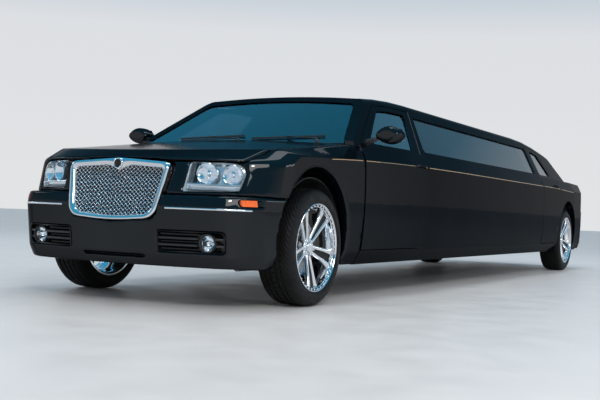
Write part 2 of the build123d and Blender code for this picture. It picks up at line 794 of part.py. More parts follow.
def lid_region(by):
    """Room of the boot lid: the deck and the part of the rear face between the lamps."""
    deck = box(BOOT_FRONT if by == 0.0 else DECK_EDGE, -7530, -755 - by, 755 + by, 1006 - by, 1300)
    face = box(-7440, -7800, -682 - by, 682 + by, 745 - by, 1300)
    return deck + face


def boot_lid():
    """Deck and rear face as one folded skin."""
    skin = TAIL_UPPER - Pos(LID_SKIN, 0, -LID_SKIN) * TAIL_UPPER
    lid = (skin & lid_region(0.0)) + panel_eyes(LID_PIN, LID_HINGE_Y, -16.0)
    for y in (-PLATE_SPACING / 2, PLATE_SPACING / 2):
        lid = lid - Pos(fx(-7640), y, PLATE_Z) * (Rot(0, 90, 0) * Cylinder(PLATE_HOLE_R, 120))
    return one(lid)


def lid_pocket():
    """Room under the boot lid's edge."""
    skin = Pos(-20, 0, 20) * TAIL_UPPER - Pos(LID_SKIN + 12, 0, -LID_SKIN - 12) * TAIL_UPPER
    return skin & lid_region(PANEL_GAP)


def tail_lamp(by):
    """Left tail lamp, following the rear corner."""
    y0, y1, z0, z1 = TAIL_LAMP
    block = box(-7300, -7800, y0 - by, y1 + by, z0 - by, z1 + by) & TAIL_UPPER
    return one(block - Pos(TAIL_LAMP_DEPTH + by, 0, 0) * TAIL_UPPER)


def rear_bumper():
    """Rear bumper wall with a closed top shelf, open below."""
    shape = LOWER & tail_prism(TAIL_BUMPER_PLAN, 180.0, TAIL_BUMPER_TOP)
    shape = shape & box(QUARTER_BUMPER - SEAT, TAIL - 50, -1000, 1000, 250, TAIL_BUMPER_TOP)
    hollow = tail_prism(TAIL_BUMPER_PLAN, 100.0, TAIL_BUMPER_TOP - 20.0, 62.0) & box(-7000, -7700, -868, 868, 100, TAIL_BUMPER_TOP - 20.0)
    for y in (-EXHAUST_TIP_Y, EXHAUST_TIP_Y):
        shape = shape - box(-7300, -7800, y - 52, y + 52, 100, 346)
    boot = box(-7000, BOOT_PANEL - BOOT_PANEL_SKIN - SEAT, -COVE_Y, COVE_Y, 100, 1000)
    return one(shape - hollow - boot)


def body_side():
    """Left body side: screen pillar, roof rail, sill, stretch wall and rear quarter."""
    shell = (LOWER & tail_prism(TAIL_PLAN, TAIL_BUMPER_TOP, 1300.0)) + (LOWER & box(-480, -7400, -1000, 1000, 200, TAIL_BUMPER_TOP))
    shell = shell & box(-480, -8000, 300, 1000, 200, 1300)
    shell = shell + (GREEN & LEFT)
    hollow = CABIN + (LOWER_IN & box(BULKHEAD + 1, BOOT_REAR, -900, 900, 200, 1030))
    shell = shell - hollow
    shell = shell - box(-400, -8000, -1200, 789.7, 100, FLOOR_TOP + 30)
    shell = shell - box(-400, FENDER_REAR - SEAT, 500, 1000, 100, 1030)
    shell = shell - FRONT_OPENING - REAR_OPENING - rounded_window(STRETCH_GLASS, 0.0)
    shell = shell - arch_cut(REAR_ARCH, 500, 1000)
    shell = shell - screen_opening() - backlight_opening() - roof_region(SEAT)
    shell = shell - box(-400, -900, 0, COWL_Y + SEAT, 300, 1080)
    shell = shell - lid_pocket() - tail_lamp(SEAT)
    shell = shell - box(QUARTER_BUMPER, -8000, -1000, 1000, 0, TAIL_BUMPER_TOP + SEAT)
    shell = shell - box(BOOT_FRONT + 30, -8000, -1000, 700, 300, 1300) - box(-400, -7000, -1000, 560, 300, 1300)
    shell = shell - box(-440, SPLIT_FRONT - SEAT, -1000, 1000, 100, 1300) - door_hinge_room(REAR_SHUT)
    for pin in door_hinge_pins(REAR_SHUT):
        shell = shell + pin
    return one(shell)


def screen_opening(by=0.0, front=-20.0, back=90.0):
    """Wedge that the windscreen fills."""
    ring = green_loft(66.0 + by, 34.0 + by) & box(-420, -2200, -1000, 1000, 1052 + by, 1600)
    return (ring & raked(front)) - raked(back)


def backlight_opening(by=0.0, rear=-20.0, back=90.0):
    """Wedge that the backlight fills."""
    ring = green_loft(105.0 + by, 60.0 + by) & box(-5900, -7100, -1000, 1000, 1128 + by, 1600)
    return (ring & raked(0.0, rear)) - raked(0.0, back)


def roof_region(by=0.0):
    """Room of the roof panel between the two roof rails."""
    return box(-900, -6700, -622 - by, 622 + by, 1240, 1600)


def roof():
    """Roof panel with its front and rear headers."""
    panel = (GREEN - GREEN_IN) & roof_region()
    return one(panel - screen_opening() - backlight_opening())


def door(prism, window, shut):
    """Door slab as thick as the whole door, with its window cut."""
    shell = (LOWER & box(-480, -6600, 0, 1000, 300, 1300)) + (GREEN & LEFT)
    slab = (shell - CABIN) & prism
    slab = slab - Pos(fx(shut + HINGE_AHEAD), HINGE_Y, 700) * Cylinder(HINGE_CLEAR_R, 2000)
    return one(slab - rounded_window(window, 0.0) + door_hinge_arms(shut))


def side_glass(window):
    """Pane in the middle of the pillar's thickness, a little smaller than its window."""
    layer = green_loft(14.0, 14.0) - green_loft(14.0 + GLASS, 14.0 + GLASS)
    return one(layer & rounded_window(window, -SEAT) & LEFT)


def screen_glass():
    """Windscreen pane."""
    return one(screen_opening(SEAT, 16.0, 28.0))


def backlight_glass():
    """Backlight pane."""
    return one(backlight_opening(SEAT, 16.0, 28.0))


def underbody():
    """Floor, firewall, cowl, frame rails, rear floor, wheelhouses and parcel shelf."""
    floor = box(-500, -5860, -789.4, 789.4, FLOOR_Z, FLOOR_TOP) - box(-400, -5900, -115, 115, 0, FLOOR_TOP)
    tunnel = box(-500, -5860, -127, 127, FLOOR_Z, 430) - box(-400, -6000, -115, 115, 0, 418)
    firewall = box(-500, -530, -789.4, 789.4, FLOOR_Z, 1008) - box(-400, -6000, -115, 115, 0, 418)
    cowl = (LOWER & box(-446.3, -640, -COWL_Y, COWL_Y, 960, 1100)) - box(-470, -640, -COWL_Y, COWL_Y, 960, 1005)
    cowl = cowl - box(-400, -492, -COWL_Y, COWL_Y, 1020, 1100) - screen_opening(-SEAT) - GREEN_IN
    cowl = cowl - hood_pocket() + panel_cheeks(HOOD_PIN, HOOD_HINGE_Y, 1005.0)
    step = box(-5860, -5885, -789.4, 789.4, FLOOR_Z, REAR_FLOOR_TOP) - box(-400, -6000, -115, 115, 0, 418)
    rear = box(-5860, BOOT_PANEL - 1, -789.4, 789.4, REAR_FLOOR_Z, REAR_FLOOR_TOP)
    rear = rear + box(BOOT_PANEL, BOOT_PANEL - BOOT_PANEL_SKIN, -789.4, 789.4, REAR_FLOOR_Z - 60, TAIL_BUMPER_TOP)
    shelf = box(BULKHEAD, BULKHEAD - 25, -560, 560, REAR_FLOOR_Z, 1050) + box(BULKHEAD, -6900, -560, 560, 1030, 1055)
    deck = (LOWER - Pos(0, 0, -26) * LOWER) & box(-6600, DECK_EDGE, -559.7, 559.7, 1030, 1200)
    deck = deck - backlight_opening(-SEAT) - GREEN_IN + box(-6600, DECK_EDGE, -559.7, 559.7, 1030, 1056)
    deck = deck + panel_cheeks(LID_PIN, LID_HINGE_Y, 1070.0) + box(DECK_EDGE + 30, -6850, -180, 180, 1050, 1079)
    rails = box(-500, 560, 340, 400, 390, 480) + box(-500, 560, -400, -340, 390, 480)
    cross = box(540, 581.7, -400, 400, 390, 480)
    body = floor + tunnel + firewall + cowl + step + rear + shelf + deck + rails + cross
    for side in (1, -1):
        for arch, inner, outer, base in ((FRONT_ARCH, 470.0, 868.0, 560.0), (REAR_ARCH, 640.0, 834.0, REAR_FLOOR_Z)):
            station, z, radius = arch
            liner = y_cylinder(station, z, radius + ARCH_LINER + 6, side * inner, side * outer)
            liner = liner - y_cylinder(station, z, radius + 6, side * (inner + 10), side * 1000)
            liner = liner & box(station - 600, station + 600, -1000, 1000, base, 1000)
            body = body - y_cylinder(station, z, radius + 6, side * (inner + 10), side * 1000)
            body = body + liner
    rail_arm = box(-40, 40, 395, 424.7, 400, 470)
    body = body + rail_arm + mirrored(rail_arm)
    return one(body)


def ring(profile, centre, arc=360.0, start=0.0):
    """Revolve (radius, y) corners about an axle at a (station, y, z) centre."""
    corners = [Vector(r, y, 0) for r, y in profile]
    face = Face(Wire.make_polygon(corners, close=True))
    solid = Solid.revolve(face, arc, Axis.Y)
    return Pos(fx(centre[0]), centre[1], centre[2]) * (Rot(0, start, 0) * solid)


RIM_PROFILE = ((272, 118), (264, 118), (254, 108), (254, 84), (236, 50), (236, -46), (252, -84),
               (252, -106), (262, -118), (272, -118), (272, -110), (262, -98), (262, -76), (246, -40),
               (246, 44), (262, 78), (262, 98), (272, 110))


def wheel(centre):
    """Left wheel: dished rim, five pairs of spokes, hub, brake disc and hub bore."""
    origin = (0.0, 0.0, 0.0)
    shape = ring(RIM_PROFILE, origin)
    shape = shape + ring(((0, 8), (0, 66), (34, 66), (HUB_R, 56), (HUB_R, 8)), origin)
    for pair in range(SPOKE_PAIRS):
        for side in (1, -1):
            angle = 90.0 + pair * 360.0 / SPOKE_PAIRS + side * SPOKE_SPREAD
            shape = shape + Pos(fx(0), 0, 0) * (Rot(0, angle, 0) * spoke())
    disc = ring(((0, -24), (0, 10), (62, 10), (62, 4), (DISC_R, 4), (DISC_R, -24)), origin)
    shape = shape + disc - ring(((0, -40), (0, 34), (HUB_BORE_R, 34), (HUB_BORE_R, -40)), origin)
    return Pos(centre[0], centre[1], centre[2]) * shape


def spoke():
    """One spoke lying along +X, from the hub out to the rim."""
    sections = []
    for r, half_width, y0, y1 in ((50.0, 20.0, 22.0, 54.0), (150.0, 13.0, 48.0, 78.0), (258.0, 15.0, 66.0, 96.0)):
        corners = [Vector(r, y0, -half_width), Vector(r, y1, -half_width * 0.7),
                   Vector(r, y1, half_width * 0.7), Vector(r, y0, half_width)]
        sections.append(Wire.make_polygon(corners, close=True))
    return Solid.make_loft(sections, True)


TYRE_PROFILE = ((263, 96), (300, TYRE_WIDTH / 2), (342, 115), (TYRE_R, 80),
                (TYRE_R, -80), (342, -115), (300, -TYRE_WIDTH / 2), (263, -96))


CALIPER_PROFILE = ((110, -60), (205, -60), (205, 28), (110, 28), (110, 10), (178, 10), (178, -30), (110, -30))


def knuckle(station, steered=True):
    """Left upright: post, spindle and caliper; a steered one has a kingpin and an arm."""
    centre = (station, WHEEL_Y, AXLE_Z)
    post = Pos(fx(station), KINGPIN_Y, AXLE_Z) * fillet(Box(64, 44, 240).edges().filter_by(Axis.Z), 12)
    shape = post + y_cylinder(station, AXLE_Z, 46, KINGPIN_Y, WHEEL_Y - 36)
    shape = shape + y_cylinder(station, AXLE_Z, SPINDLE_R, KINGPIN_Y, WHEEL_Y + 30)
    side = 180.0
    caliper = ring(CALIPER_PROFILE, centre, 44.0, side - 22.0)
    bracket = box(station - 190, station, KINGPIN_Y - 14, KINGPIN_Y + 20, AXLE_Z - 22, AXLE_Z + 22)
    bracket = bracket + box(station - 190, station - 125, KINGPIN_Y - 14, WHEEL_Y - 50, AXLE_Z - 22, AXLE_Z + 22)
    shape = shape + caliper + bracket
    if steered:
        pin = Pos(fx(station), KINGPIN_Y, AXLE_Z) * Cylinder(KINGPIN_R, 2 * BALL_OFFSET_Z + 30)
        arm = box(station - 130, station, KINGPIN_Y - 20, KINGPIN_Y - 4, AXLE_Z - 90, AXLE_Z - 60)
        shape = shape + pin + arm
    return one(shape)


def front_subframe():
    """Crossmember, wishbones and dampers; the ball joint eyes hold the kingpins."""
    shape = box(-80, 80, -440, 440, 230, 285)
    for side in (1, -1):
        for z, wide, inner in ((AXLE_Z - BALL_OFFSET_Z - 12, 150, 400), (AXLE_Z + BALL_OFFSET_Z - 12, 90, 440)):
            leg = plan_face(((-wide, side * inner), (-wide + 60, side * inner), (22, side * KINGPIN_Y),
                             (-22, side * KINGPIN_Y)), z)
            shape = shape + push(leg, 0, 0, 24)
            leg = plan_face(((wide, side * inner), (wide - 60, side * inner), (-22, side * KINGPIN_Y),
                             (22, side * KINGPIN_Y)), z)
            shape = shape + push(leg, 0, 0, 24)
            eye = Pos(FRONT_AXLE_X, side * KINGPIN_Y, z + 12) * Cylinder(30, 24)
            shape = shape + eye
        shape = shape + box(-150, 150, side * 400, side * 440, 202, 260)
        tower = box(-95, 95, side * 425, side * 462, 240, 540)
        shape = shape + tower
        damper = Pos(FRONT_AXLE_X, side * 590, 531.5) * Cylinder(30, 651)
        shape = shape + damper
        shape = shape - Pos(FRONT_AXLE_X, side * KINGPIN_Y, AXLE_Z) * Cylinder(KINGPIN_R + 0.06, 600)
    return one(shape)


def rear_axle():
    """Subframe, final drive, half shafts, arms, uprights and calipers."""
    s = REAR_AXLE
    shape = box(s - 60, s + 60, -420, 420, 250, 300) + y_cylinder(s, AXLE_Z, 105, -130, 130)
    shape = shape + y_cylinder(s, AXLE_Z, 20, -KINGPIN_Y, KINGPIN_Y)
    shape = shape + rod((s, 0, AXLE_Z), (s + 190, 0, AXLE_Z), 45)
    for side in (1, -1):
        upright = knuckle(s, steered=False)
        if side < 0:
            upright = mirrored(upright)
        shape = shape + upright
        lower = plan_face(((s - 120, side * 380), (s + 120, side * 380), (s + 34, side * 725), (s - 34, side * 725)), 245)
        shape = shape + push(lower, 0, 0, 26)
        upper = plan_face(((s - 60, side * 330), (s + 60, side * 330), (s + 24, side * 725), (s - 24, side * 725)), 452)
        shape = shape + push(upper, 0, 0, 22)
        shape = shape + box(s - 60, s - 30, side * 330, side * 370, 290, REAR_FLOOR_Z - SEAT)
        shape = shape + box(s + 30, s + 60, side * 330, side * 370, 290, REAR_FLOOR_Z - SEAT)
    return one(shape)


def driveshaft():
    """Two-piece propeller shaft in the tunnel."""
    front = rod((-881, 0, 330), (-3700, 0, 334), 42)
    rear = rod((-3700, 0, 334), (REAR_AXLE + 191, 0, AXLE_Z), 42)
    return front + rear + rod((-3660, 0, 334), (-3740, 0, 334), 62)


def exhaust():
    """Twin pipes with rear silencers and oval tips."""
    shapes = []
    for side in (1, -1):
        pipe = rod((-150, side * 250, 200), (-6900, side * 250, 200), 30)
        tail = rod((-6900, side * 250, 200), (-7010, side * 470, 300), 30)
        box_ = box(-7000, -7420, side * 400, side * 640, 240, 380)
        tip = rod((-7400, side * 560, 290), (-7640, side * 560, 290), 36)
        body = pipe + tail + box_ + tip
        for station in (-1200, -3200, -5200):
            body = body + box(station - 20, station + 20, side * 250 - 12, side * 250 + 12, 215, FLOOR_Z - SEAT)
        shapes.append(body)
    return shapes


def engine():
    """Engine and gearbox as plain blocks."""
    block = box(-300, 380, -290, 290, 330, 840) + box(-20, 60, -339.7, 339.7, 410, 460)
    gearbox = box(-880, -300, -105, 105, 240, 417.7)
    return block + gearbox


def fuel_tank():
    """Tank ahead of the rear axle under the raised floor."""
    tank = fillet(box(-5900, -6210, -520, 520, 255, REAR_FLOOR_Z - SEAT).edges(), 30)
    return tank - box(-5800, -6300, -85, 85, 200, 432)


def dashboard():
    """Full-width dash with a hood over the instruments."""
    outline = ((-545, 720), (-545, 985), (-700, 1010), (-860, 985), (-930, 900), (-900, 740))
    body = push(side_face(outline, -800), 0, 1600, 0)
    column = column_bar(COLUMN_BORE_R, -40.0, 420.0)
    stack = box(-880, -930, -130, 130, 431, 760)
    console = box(-930 - SEAT, -1500, -130, 130, 431, 600)
    return one(body + stack - column), console


COLUMN_R = 22.0
COLUMN_BORE_R = 22.06


def column_bar(radius, start, length):
    """Bar along the steering column's axis, from start towards the front."""
    tilt = math.radians(COLUMN_TILT)
    x, y, z = STEER_WHEEL
    forward = (math.cos(tilt), 0, -math.sin(tilt))
    a = (x + forward[0] * start, y, z + forward[2] * start)
    b = (x + forward[0] * (start + length), y, z + forward[2] * (start + length))
    return rod(a, b, radius)


def steering_wheel():
    """Rim, four spokes, boss and the column that turns in the dash."""
    rim = Torus(STEER_WHEEL_R, 15)
    spokes = Box(2 * STEER_WHEEL_R, 40, 14) + Box(40, 2 * STEER_WHEEL_R, 14)
    boss = Cylinder(66, 46)
    head = Rot(0, 90 + COLUMN_TILT, 0) * (rim + spokes + boss)
    x, y, z = STEER_WHEEL
    head = Pos(fx(x), y, z) * head
    return one(head + column_bar(COLUMN_R, 0.0, 320.0))


def front_seat(side):
    """Bucket seat: cushion, back and head restraint."""
    y = side * 385.0
    cushion = box(-1360, -1890, y - 255, y + 255, 278.3, 520)
    cushion = fillet(cushion.edges().filter_by(Axis.Z), 50)
    back = push(side_face(((-1820, 430), (-1950, 430), (-2030, 1060), (-1940, 1070)), y - 245), 0, 490, 0)
    rest = box(-1955, -2035, y - 130, y + 130, 1060, 1230)
    return one(cushion + back + rest)


def lounge():
    """Rear bench and the long side bench on the right."""
    bench = box(-5780, -6300, -625, 625, 515.3, 620)
    back = push(side_face(((-6200, 600), (-6330, 600), (-6345, 1040), (-6290, 1060)), -625), 0, 1250, 0)
    side = box(-2650, -5250, -785, -330, 278.3, 500) + box(-2650, -5250, -785, -690, 480, 930)
    return one(bench + back), one(side)


def bar_console():
    """Bar cabinet along the left wall."""
    return fillet(box(-2650, -4700, 500, 785, 278.3, 860).edges().filter_by(Axis.Z), 30)


def mirror():
    """Left door mirror: shell on a short arm."""
    shell = fillet(box(-695, -815, 965, 1150, 1062, 1190).edges(), 26)
    arm = box(-735, -795, 820, 985, 1062, 1094) - LOWER - GREEN
    return one(shell + arm)


def side_marker():
    """Amber marker in the bumper's upper corner."""
    block = box(595, 700, 700, 900, 600, 628)
    return one((block & bumper_prism(0.0) & LOWER) - bumper_prism(-16.0))


def build():
    """Make every node and write it."""
    os.makedirs("parts", exist_ok=True)
    write("underbody", underbody())
    side = body_side()
    write("body_sides", side, mirrored(side))
    write("roof_panel", roof())
    wing = fender()
    write("front_fenders", wing, mirrored(wing))
    write("hood", hood_panel())
    write("boot_lid", boot_lid())
    marker = side_marker()
    front = bumper() - box(590, 705, -905, -695, 599.7, 628.3) - box(590, 705, 695, 905, 599.7, 628.3)
    front = one(front)
    write("front_bumper", front)
    write("side_markers", marker, mirrored(marker))
    write("rear_bumper", rear_bumper())
    for name, prism, window, shut in (("front_door", FRONT_PRISM, FRONT_GLASS, FRONT_SHUT),
                                      ("rear_door", REAR_PRISM, REAR_GLASS, REAR_SHUT)):
        slab = door(prism, window, shut)
        pane = side_glass(window)
        write(name + "_left", slab)
        write(name + "_right", mirrored(slab))
        write(name + "_glass_left", pane)
        write(name + "_glass_right", mirrored(pane))
    pane = side_glass(STRETCH_GLASS)
    write("stretch_glass", pane, mirrored(pane))
    write("windscreen", screen_glass())
    write("backlight", backlight_glass())
    write("grille", grille())
    write("radiator", radiator())
    lamp = headlamps()
    write("headlamps", lamp, mirrored(lamp))
    write("fog_lamps", fog_lamp(1), fog_lamp(-1))
    lamp = tail_lamp(0.0)
    write("tail_lamps", lamp, mirrored(lamp))
    glass = mirror()
    write("mirror_left", glass)
    write("mirror_right", mirrored(glass))
    left_wheel = wheel((0.0, 0.0, 0.0))
    left_tyre = ring(TYRE_PROFILE, (0.0, 0.0, 0.0))
    for place, station in (("front", 0.0), ("rear", REAR_AXLE)):
        move = Pos(station, WHEEL_Y, AXLE_Z)
        write(f"wheel_{place}_left", move * left_wheel)
        write(f"wheel_{place}_right", mirrored(move * left_wheel))
        write(f"tyre_{place}_left", move * left_tyre)
        write(f"tyre_{place}_right", mirrored(move * left_tyre))
    upright = knuckle(0.0)
    write("knuckle_left", upright)
    write("knuckle_right", mirrored(upright))
    write("front_subframe", front_subframe())
    write("rear_axle", rear_axle())
    write("driveshaft", driveshaft())
    write("exhaust", *exhaust())
    write("engine", engine())
    write("fuel_tank", fuel_tank())
    write("dashboard", *dashboard())
    write("steering_wheel", steering_wheel())
    write("front_seats", front_seat(1), front_seat(-1))
    write("lounge_seats", *lounge())
    write("bar_console", bar_console())


build()
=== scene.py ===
"""Looks for a stretched four-door saloon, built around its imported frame."""

import json
import logging
import math
from dataclasses import dataclass
from enum import Enum
from typing import Iterable, Optional, Sequence

import bmesh
import bpy
from mathutils import Matrix, Vector
from mathutils.bvhtree import BVHTree


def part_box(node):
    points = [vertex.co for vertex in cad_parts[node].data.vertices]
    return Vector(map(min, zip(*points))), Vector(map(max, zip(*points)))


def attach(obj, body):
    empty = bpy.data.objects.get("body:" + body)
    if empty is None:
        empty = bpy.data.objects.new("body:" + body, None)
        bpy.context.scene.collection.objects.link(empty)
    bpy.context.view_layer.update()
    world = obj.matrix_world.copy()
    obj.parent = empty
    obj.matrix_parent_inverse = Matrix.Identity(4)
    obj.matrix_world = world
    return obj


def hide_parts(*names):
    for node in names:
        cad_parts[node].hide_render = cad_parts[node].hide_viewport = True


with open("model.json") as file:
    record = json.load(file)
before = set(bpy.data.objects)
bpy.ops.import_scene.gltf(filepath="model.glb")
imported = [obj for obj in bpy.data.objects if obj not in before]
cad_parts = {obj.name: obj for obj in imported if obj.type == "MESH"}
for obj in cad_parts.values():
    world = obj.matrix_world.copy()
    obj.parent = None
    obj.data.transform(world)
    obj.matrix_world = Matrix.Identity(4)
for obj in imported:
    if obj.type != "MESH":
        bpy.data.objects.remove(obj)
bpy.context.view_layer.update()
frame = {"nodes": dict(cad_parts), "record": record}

LOG = logging.getLogger("limousine")

# Places in metres. The body faces +X, and its left side is +Y.
FRONT_AXLE_X = 3.3925
REAR_AXLE_X = -3.2115
WHEEL_Y = 0.8
AXLE_Z = 0.364
AHEAD_X = 5.0
BEHIND_X = -6.0
BESIDE_Y = 1.3
LEFT = 1.0
RIGHT = -1.0
SIDES = (("left", LEFT), ("right", RIGHT))

Point = tuple[float, float, float]
Flat = tuple[float, float]
ORIGIN: Point = (0.0, 0.0, 0.0)
FORWARDS: Point = (1.0, 0.0, 0.0)
BACKWARDS: Point = (-1.0, 0.0, 0.0)
UP: Point = (0.0, 0.0, 1.0)
DOWN: Point = (0.0, 0.0, -1.0)

COAT_ROUGHNESS = 0.03
EDGE_FADE: Flat = (0.25, 0.65)
DRIFT_FADE: Flat = (0.35, 0.7)
ROUGH_FADE: Flat = (0.3, 0.7)


def st(station: float) -> float:
    """Returns X in metres of a station in millimetres ahead of the front axle."""
    return FRONT_AXLE_X + station / 1000.0


class Grain(Enum):
    """The small relief that a finish carries."""

    NONE = "none"
    PEEL = "peel"
    PEBBLE = "pebble"
    BRUSHED = "brushed"
    PILE = "pile"
    CAST = "cast"
    VENEER = "veneer"


@dataclass(frozen=True)
class Finish:
    """One surface finish, made as a node material.

    Args:
        name: the material's name.
        colour: the main colour, as linear red, green and blue.
        second: the colour that it drifts to.
        drift: size of the drift's patches, in cells a metre.
        rough: lowest and highest roughness.
        metal: 0 for a dielectric, 1 for metal.
        coat: strength of the clear coat.
        edge_coat: its strength where the surface is seen edge-on, or below 0 for the same.
        see: share of light that passes through.
        ior: index of refraction.
        sheen: strength of the cloth sheen.
        grain: kind of relief.
        grain_size: relief cells a metre.
        grain_depth: height of the relief in metres.
        grain_strength: how strongly it bends the light.
    """

    name: str
    colour: Point
    second: Point
    drift: float = 6.0
    rough: Flat = (0.3, 0.4)
    metal: float = 0.0
    coat: float = 0.0
    edge_coat: float = -1.0
    see: float = 0.0
    ior: float = 1.5
    sheen: float = 0.0
    grain: Grain = Grain.NONE
    grain_size: float = 400.0
    grain_depth: float = 0.0002
    grain_strength: float = 0.3

    def material(self) -> bpy.types.Material:
        """Returns the finish's material, made once."""
        known = bpy.data.materials.get(self.name)
        if known is not None:
            return known
        made = bpy.data.materials.new(self.name)
        made.use_nodes = True
        tree = made.node_tree
        shader = tree.nodes["Principled BSDF"]
        coords = tree.nodes.new("ShaderNodeTexCoord")
        for socket, value in (("Metallic", self.metal), ("Coat Weight", self.coat),
                              ("Coat Roughness", COAT_ROUGHNESS), ("Transmission Weight", self.see),
                              ("IOR", self.ior), ("Sheen Weight", self.sheen)):
            shader.inputs[socket].default_value = value
        self._colour(tree, shader, coords)
        self._relief(tree, shader, coords)
        self._edge(tree, shader)
        return made

    def _noise(self, tree: bpy.types.NodeTree, coords: bpy.types.Node, scale: float,
               detail: float = 3.0, stretch: Point = (1.0, 1.0, 1.0)) -> bpy.types.Node:
        """Adds a noise texture in the object's own coordinates.

        Args:
            tree: the material's nodes.
            coords: the coordinate node.
            scale: cells a metre.
            detail: octaves.
            stretch: factors along X, Y and Z.

        Returns:
            The noise node.
        """
        noise = tree.nodes.new("ShaderNodeTexNoise")
        noise.inputs["Scale"].default_value = scale
        noise.inputs["Detail"].default_value = detail
        mapping = tree.nodes.new("ShaderNodeMapping")
        mapping.inputs["Scale"].default_value = stretch
        tree.links.new(coords.outputs["Object"], mapping.inputs["Vector"])
        tree.links.new(mapping.outputs["Vector"], noise.inputs["Vector"])
        return noise

    @staticmethod
    def _mapped(tree: bpy.types.NodeTree, value: bpy.types.NodeSocket, source: Flat,
                target: Flat) -> bpy.types.NodeSocket:
        """Maps a value from one range to another.

        Args:
            tree: the material's nodes.
            value: the socket to read.
            source: the range that it comes in.
            target: the range that it leaves in.

        Returns:
            The mapped value's socket.
        """
        node = tree.nodes.new("ShaderNodeMapRange")
        for socket, number in zip(("From Min", "From Max", "To Min", "To Max"), (*source, *target)):
            node.inputs[socket].default_value = number
        tree.links.new(value, node.inputs["Value"])
        return node.outputs["Result"]

    def _colour(self, tree: bpy.types.NodeTree, shader: bpy.types.Node, coords: bpy.types.Node) -> None:
        """Links the colour's drift and the roughness's spread.

        Args:
            tree: the material's nodes.
            shader: its shader.
            coords: the coordinate node.
        """
        stretch = (1.0, 18.0, 18.0) if self.grain is Grain.VENEER else (1.0, 1.0, 1.0)
        noise = self._noise(tree, coords, self.drift, 4.0, stretch)
        ramp = tree.nodes.new("ShaderNodeValToRGB")
        for element, position, tone in zip(ramp.color_ramp.elements, DRIFT_FADE, (self.colour, self.second)):
            element.position = position
            element.color = (*tone, 1.0)
        tree.links.new(noise.outputs["Fac"], ramp.inputs["Fac"])
        tree.links.new(ramp.outputs["Color"], shader.inputs["Base Color"])
        finer = self._noise(tree, coords, self.drift * 3.0, 5.0)
        tree.links.new(self._mapped(tree, finer.outputs["Fac"], ROUGH_FADE, self.rough),
                       shader.inputs["Roughness"])

    def _edge(self, tree: bpy.types.NodeTree, shader: bpy.types.Node) -> None:
        """Thins the coat's gloss towards the edge-on view.

        Args:
            tree: the material's nodes.
            shader: its shader.
        """
        if self.edge_coat < 0.0:
            return
        weight = tree.nodes.new("ShaderNodeLayerWeight")
        weight.inputs["Blend"].default_value = 0.5
        faded = self._mapped(tree, weight.outputs["Facing"], EDGE_FADE, (self.coat, self.edge_coat))
        tree.links.new(faded, shader.inputs["Coat Weight"])

    def _relief(self, tree: bpy.types.NodeTree, shader: bpy.types.Node, coords: bpy.types.Node) -> None:
        """Links the finish's small relief.

        Args:
            tree: the material's nodes.
            shader: its shader.
            coords: the coordinate node.
        """
        if self.grain is Grain.NONE:
            return
        if self.grain in (Grain.PEBBLE, Grain.PILE):
            cells = tree.nodes.new("ShaderNodeTexVoronoi")
            cells.inputs["Scale"].default_value = self.grain_size
            tree.links.new(coords.outputs["Object"], cells.inputs["Vector"])
            height = cells.outputs["Distance"]
        elif self.grain is Grain.BRUSHED:
            height = self._noise(tree, coords, self.grain_size, 2.0, (1.0, 0.03, 1.0)).outputs["Fac"]
        elif self.grain is Grain.VENEER:
            height = self._noise(tree, coords, self.grain_size, 3.0, (0.1, 2.0, 2.0)).outputs["Fac"]
        else:
            height = self._noise(tree, coords, self.grain_size, 3.0).outputs["Fac"]
        bump = tree.nodes.new("ShaderNodeBump")
        bump.inputs["Strength"].default_value = self.grain_strength
        bump.inputs["Distance"].default_value = self.grain_depth
        tree.links.new(height, bump.inputs["Height"])
        tree.links.new(bump.outputs["Normal"], shader.inputs["Normal"])


PAINT = Finish(
    "gloss_black_lacquer", (0.0014, 0.0028, 0.0046), (0.0024, 0.0046, 0.0074), 2.0, (0.10, 0.14), coat=0.70,
    edge_coat=0.07, ior=1.02, grain=Grain.PEEL, grain_size=55.0, grain_depth=0.0001, grain_strength=0.05)
GLOSS_TRIM = Finish(
    "gloss_black_trim", (0.004, 0.004, 0.005), (0.007, 0.007, 0.008), 12.0, (0.12, 0.2), coat=0.4,
    edge_coat=0.15, ior=1.2)
SATIN_TRIM = Finish(
    "satin_black_moulding", (0.012, 0.012, 0.013), (0.02, 0.02, 0.021), 20.0, (0.4, 0.55), grain=Grain.PEEL,
    grain_size=900.0, grain_strength=0.15)
CHROME = Finish(
    "bright_chrome_plate", (0.80, 0.81, 0.83), (0.72, 0.74, 0.77), 9.0, (0.04, 0.09), metal=1.0,
    grain=Grain.PEEL, grain_size=60.0, grain_depth=0.0002, grain_strength=0.03)
MESH_WIRE = Finish("plated_mesh_wire", (0.90, 0.91, 0.93), (0.82, 0.83, 0.85), 40.0, (0.14, 0.22), metal=1.0)
REFLECTOR = Finish("lamp_reflector", (0.90, 0.93, 0.96), (0.84, 0.88, 0.92), 12.0, (0.05, 0.10), metal=1.0)
LAMP_WELL = Finish("lamp_bezel", (0.82, 0.86, 0.89), (0.76, 0.80, 0.84), 7.0, (0.16, 0.22), metal=0.75)
CLEAR_LENS = Finish(
    "clear_moulded_lens", (0.96, 0.98, 0.99), (0.93, 0.96, 0.98), 4.0, (0.0, 0.02), see=1.0, ior=1.06,
    coat=0.35)
TINTED = Finish(
    "tinted_screen_glass", (0.18, 0.25, 0.30), (0.15, 0.21, 0.26), 1.5, (0.0, 0.015), see=1.0, ior=1.2,
    coat=1.0)
PRIVACY = Finish(
    "dark_privacy_glass", (0.012, 0.014, 0.018), (0.018, 0.020, 0.025), 1.5, (0.01, 0.03), see=0.45, ior=1.3,
    coat=0.7, edge_coat=0.2)
RED_LENS = Finish(
    "red_lamp_lens", (0.36, 0.006, 0.008), (0.25, 0.004, 0.006), 30.0, (0.06, 0.12), see=0.25, coat=0.8)
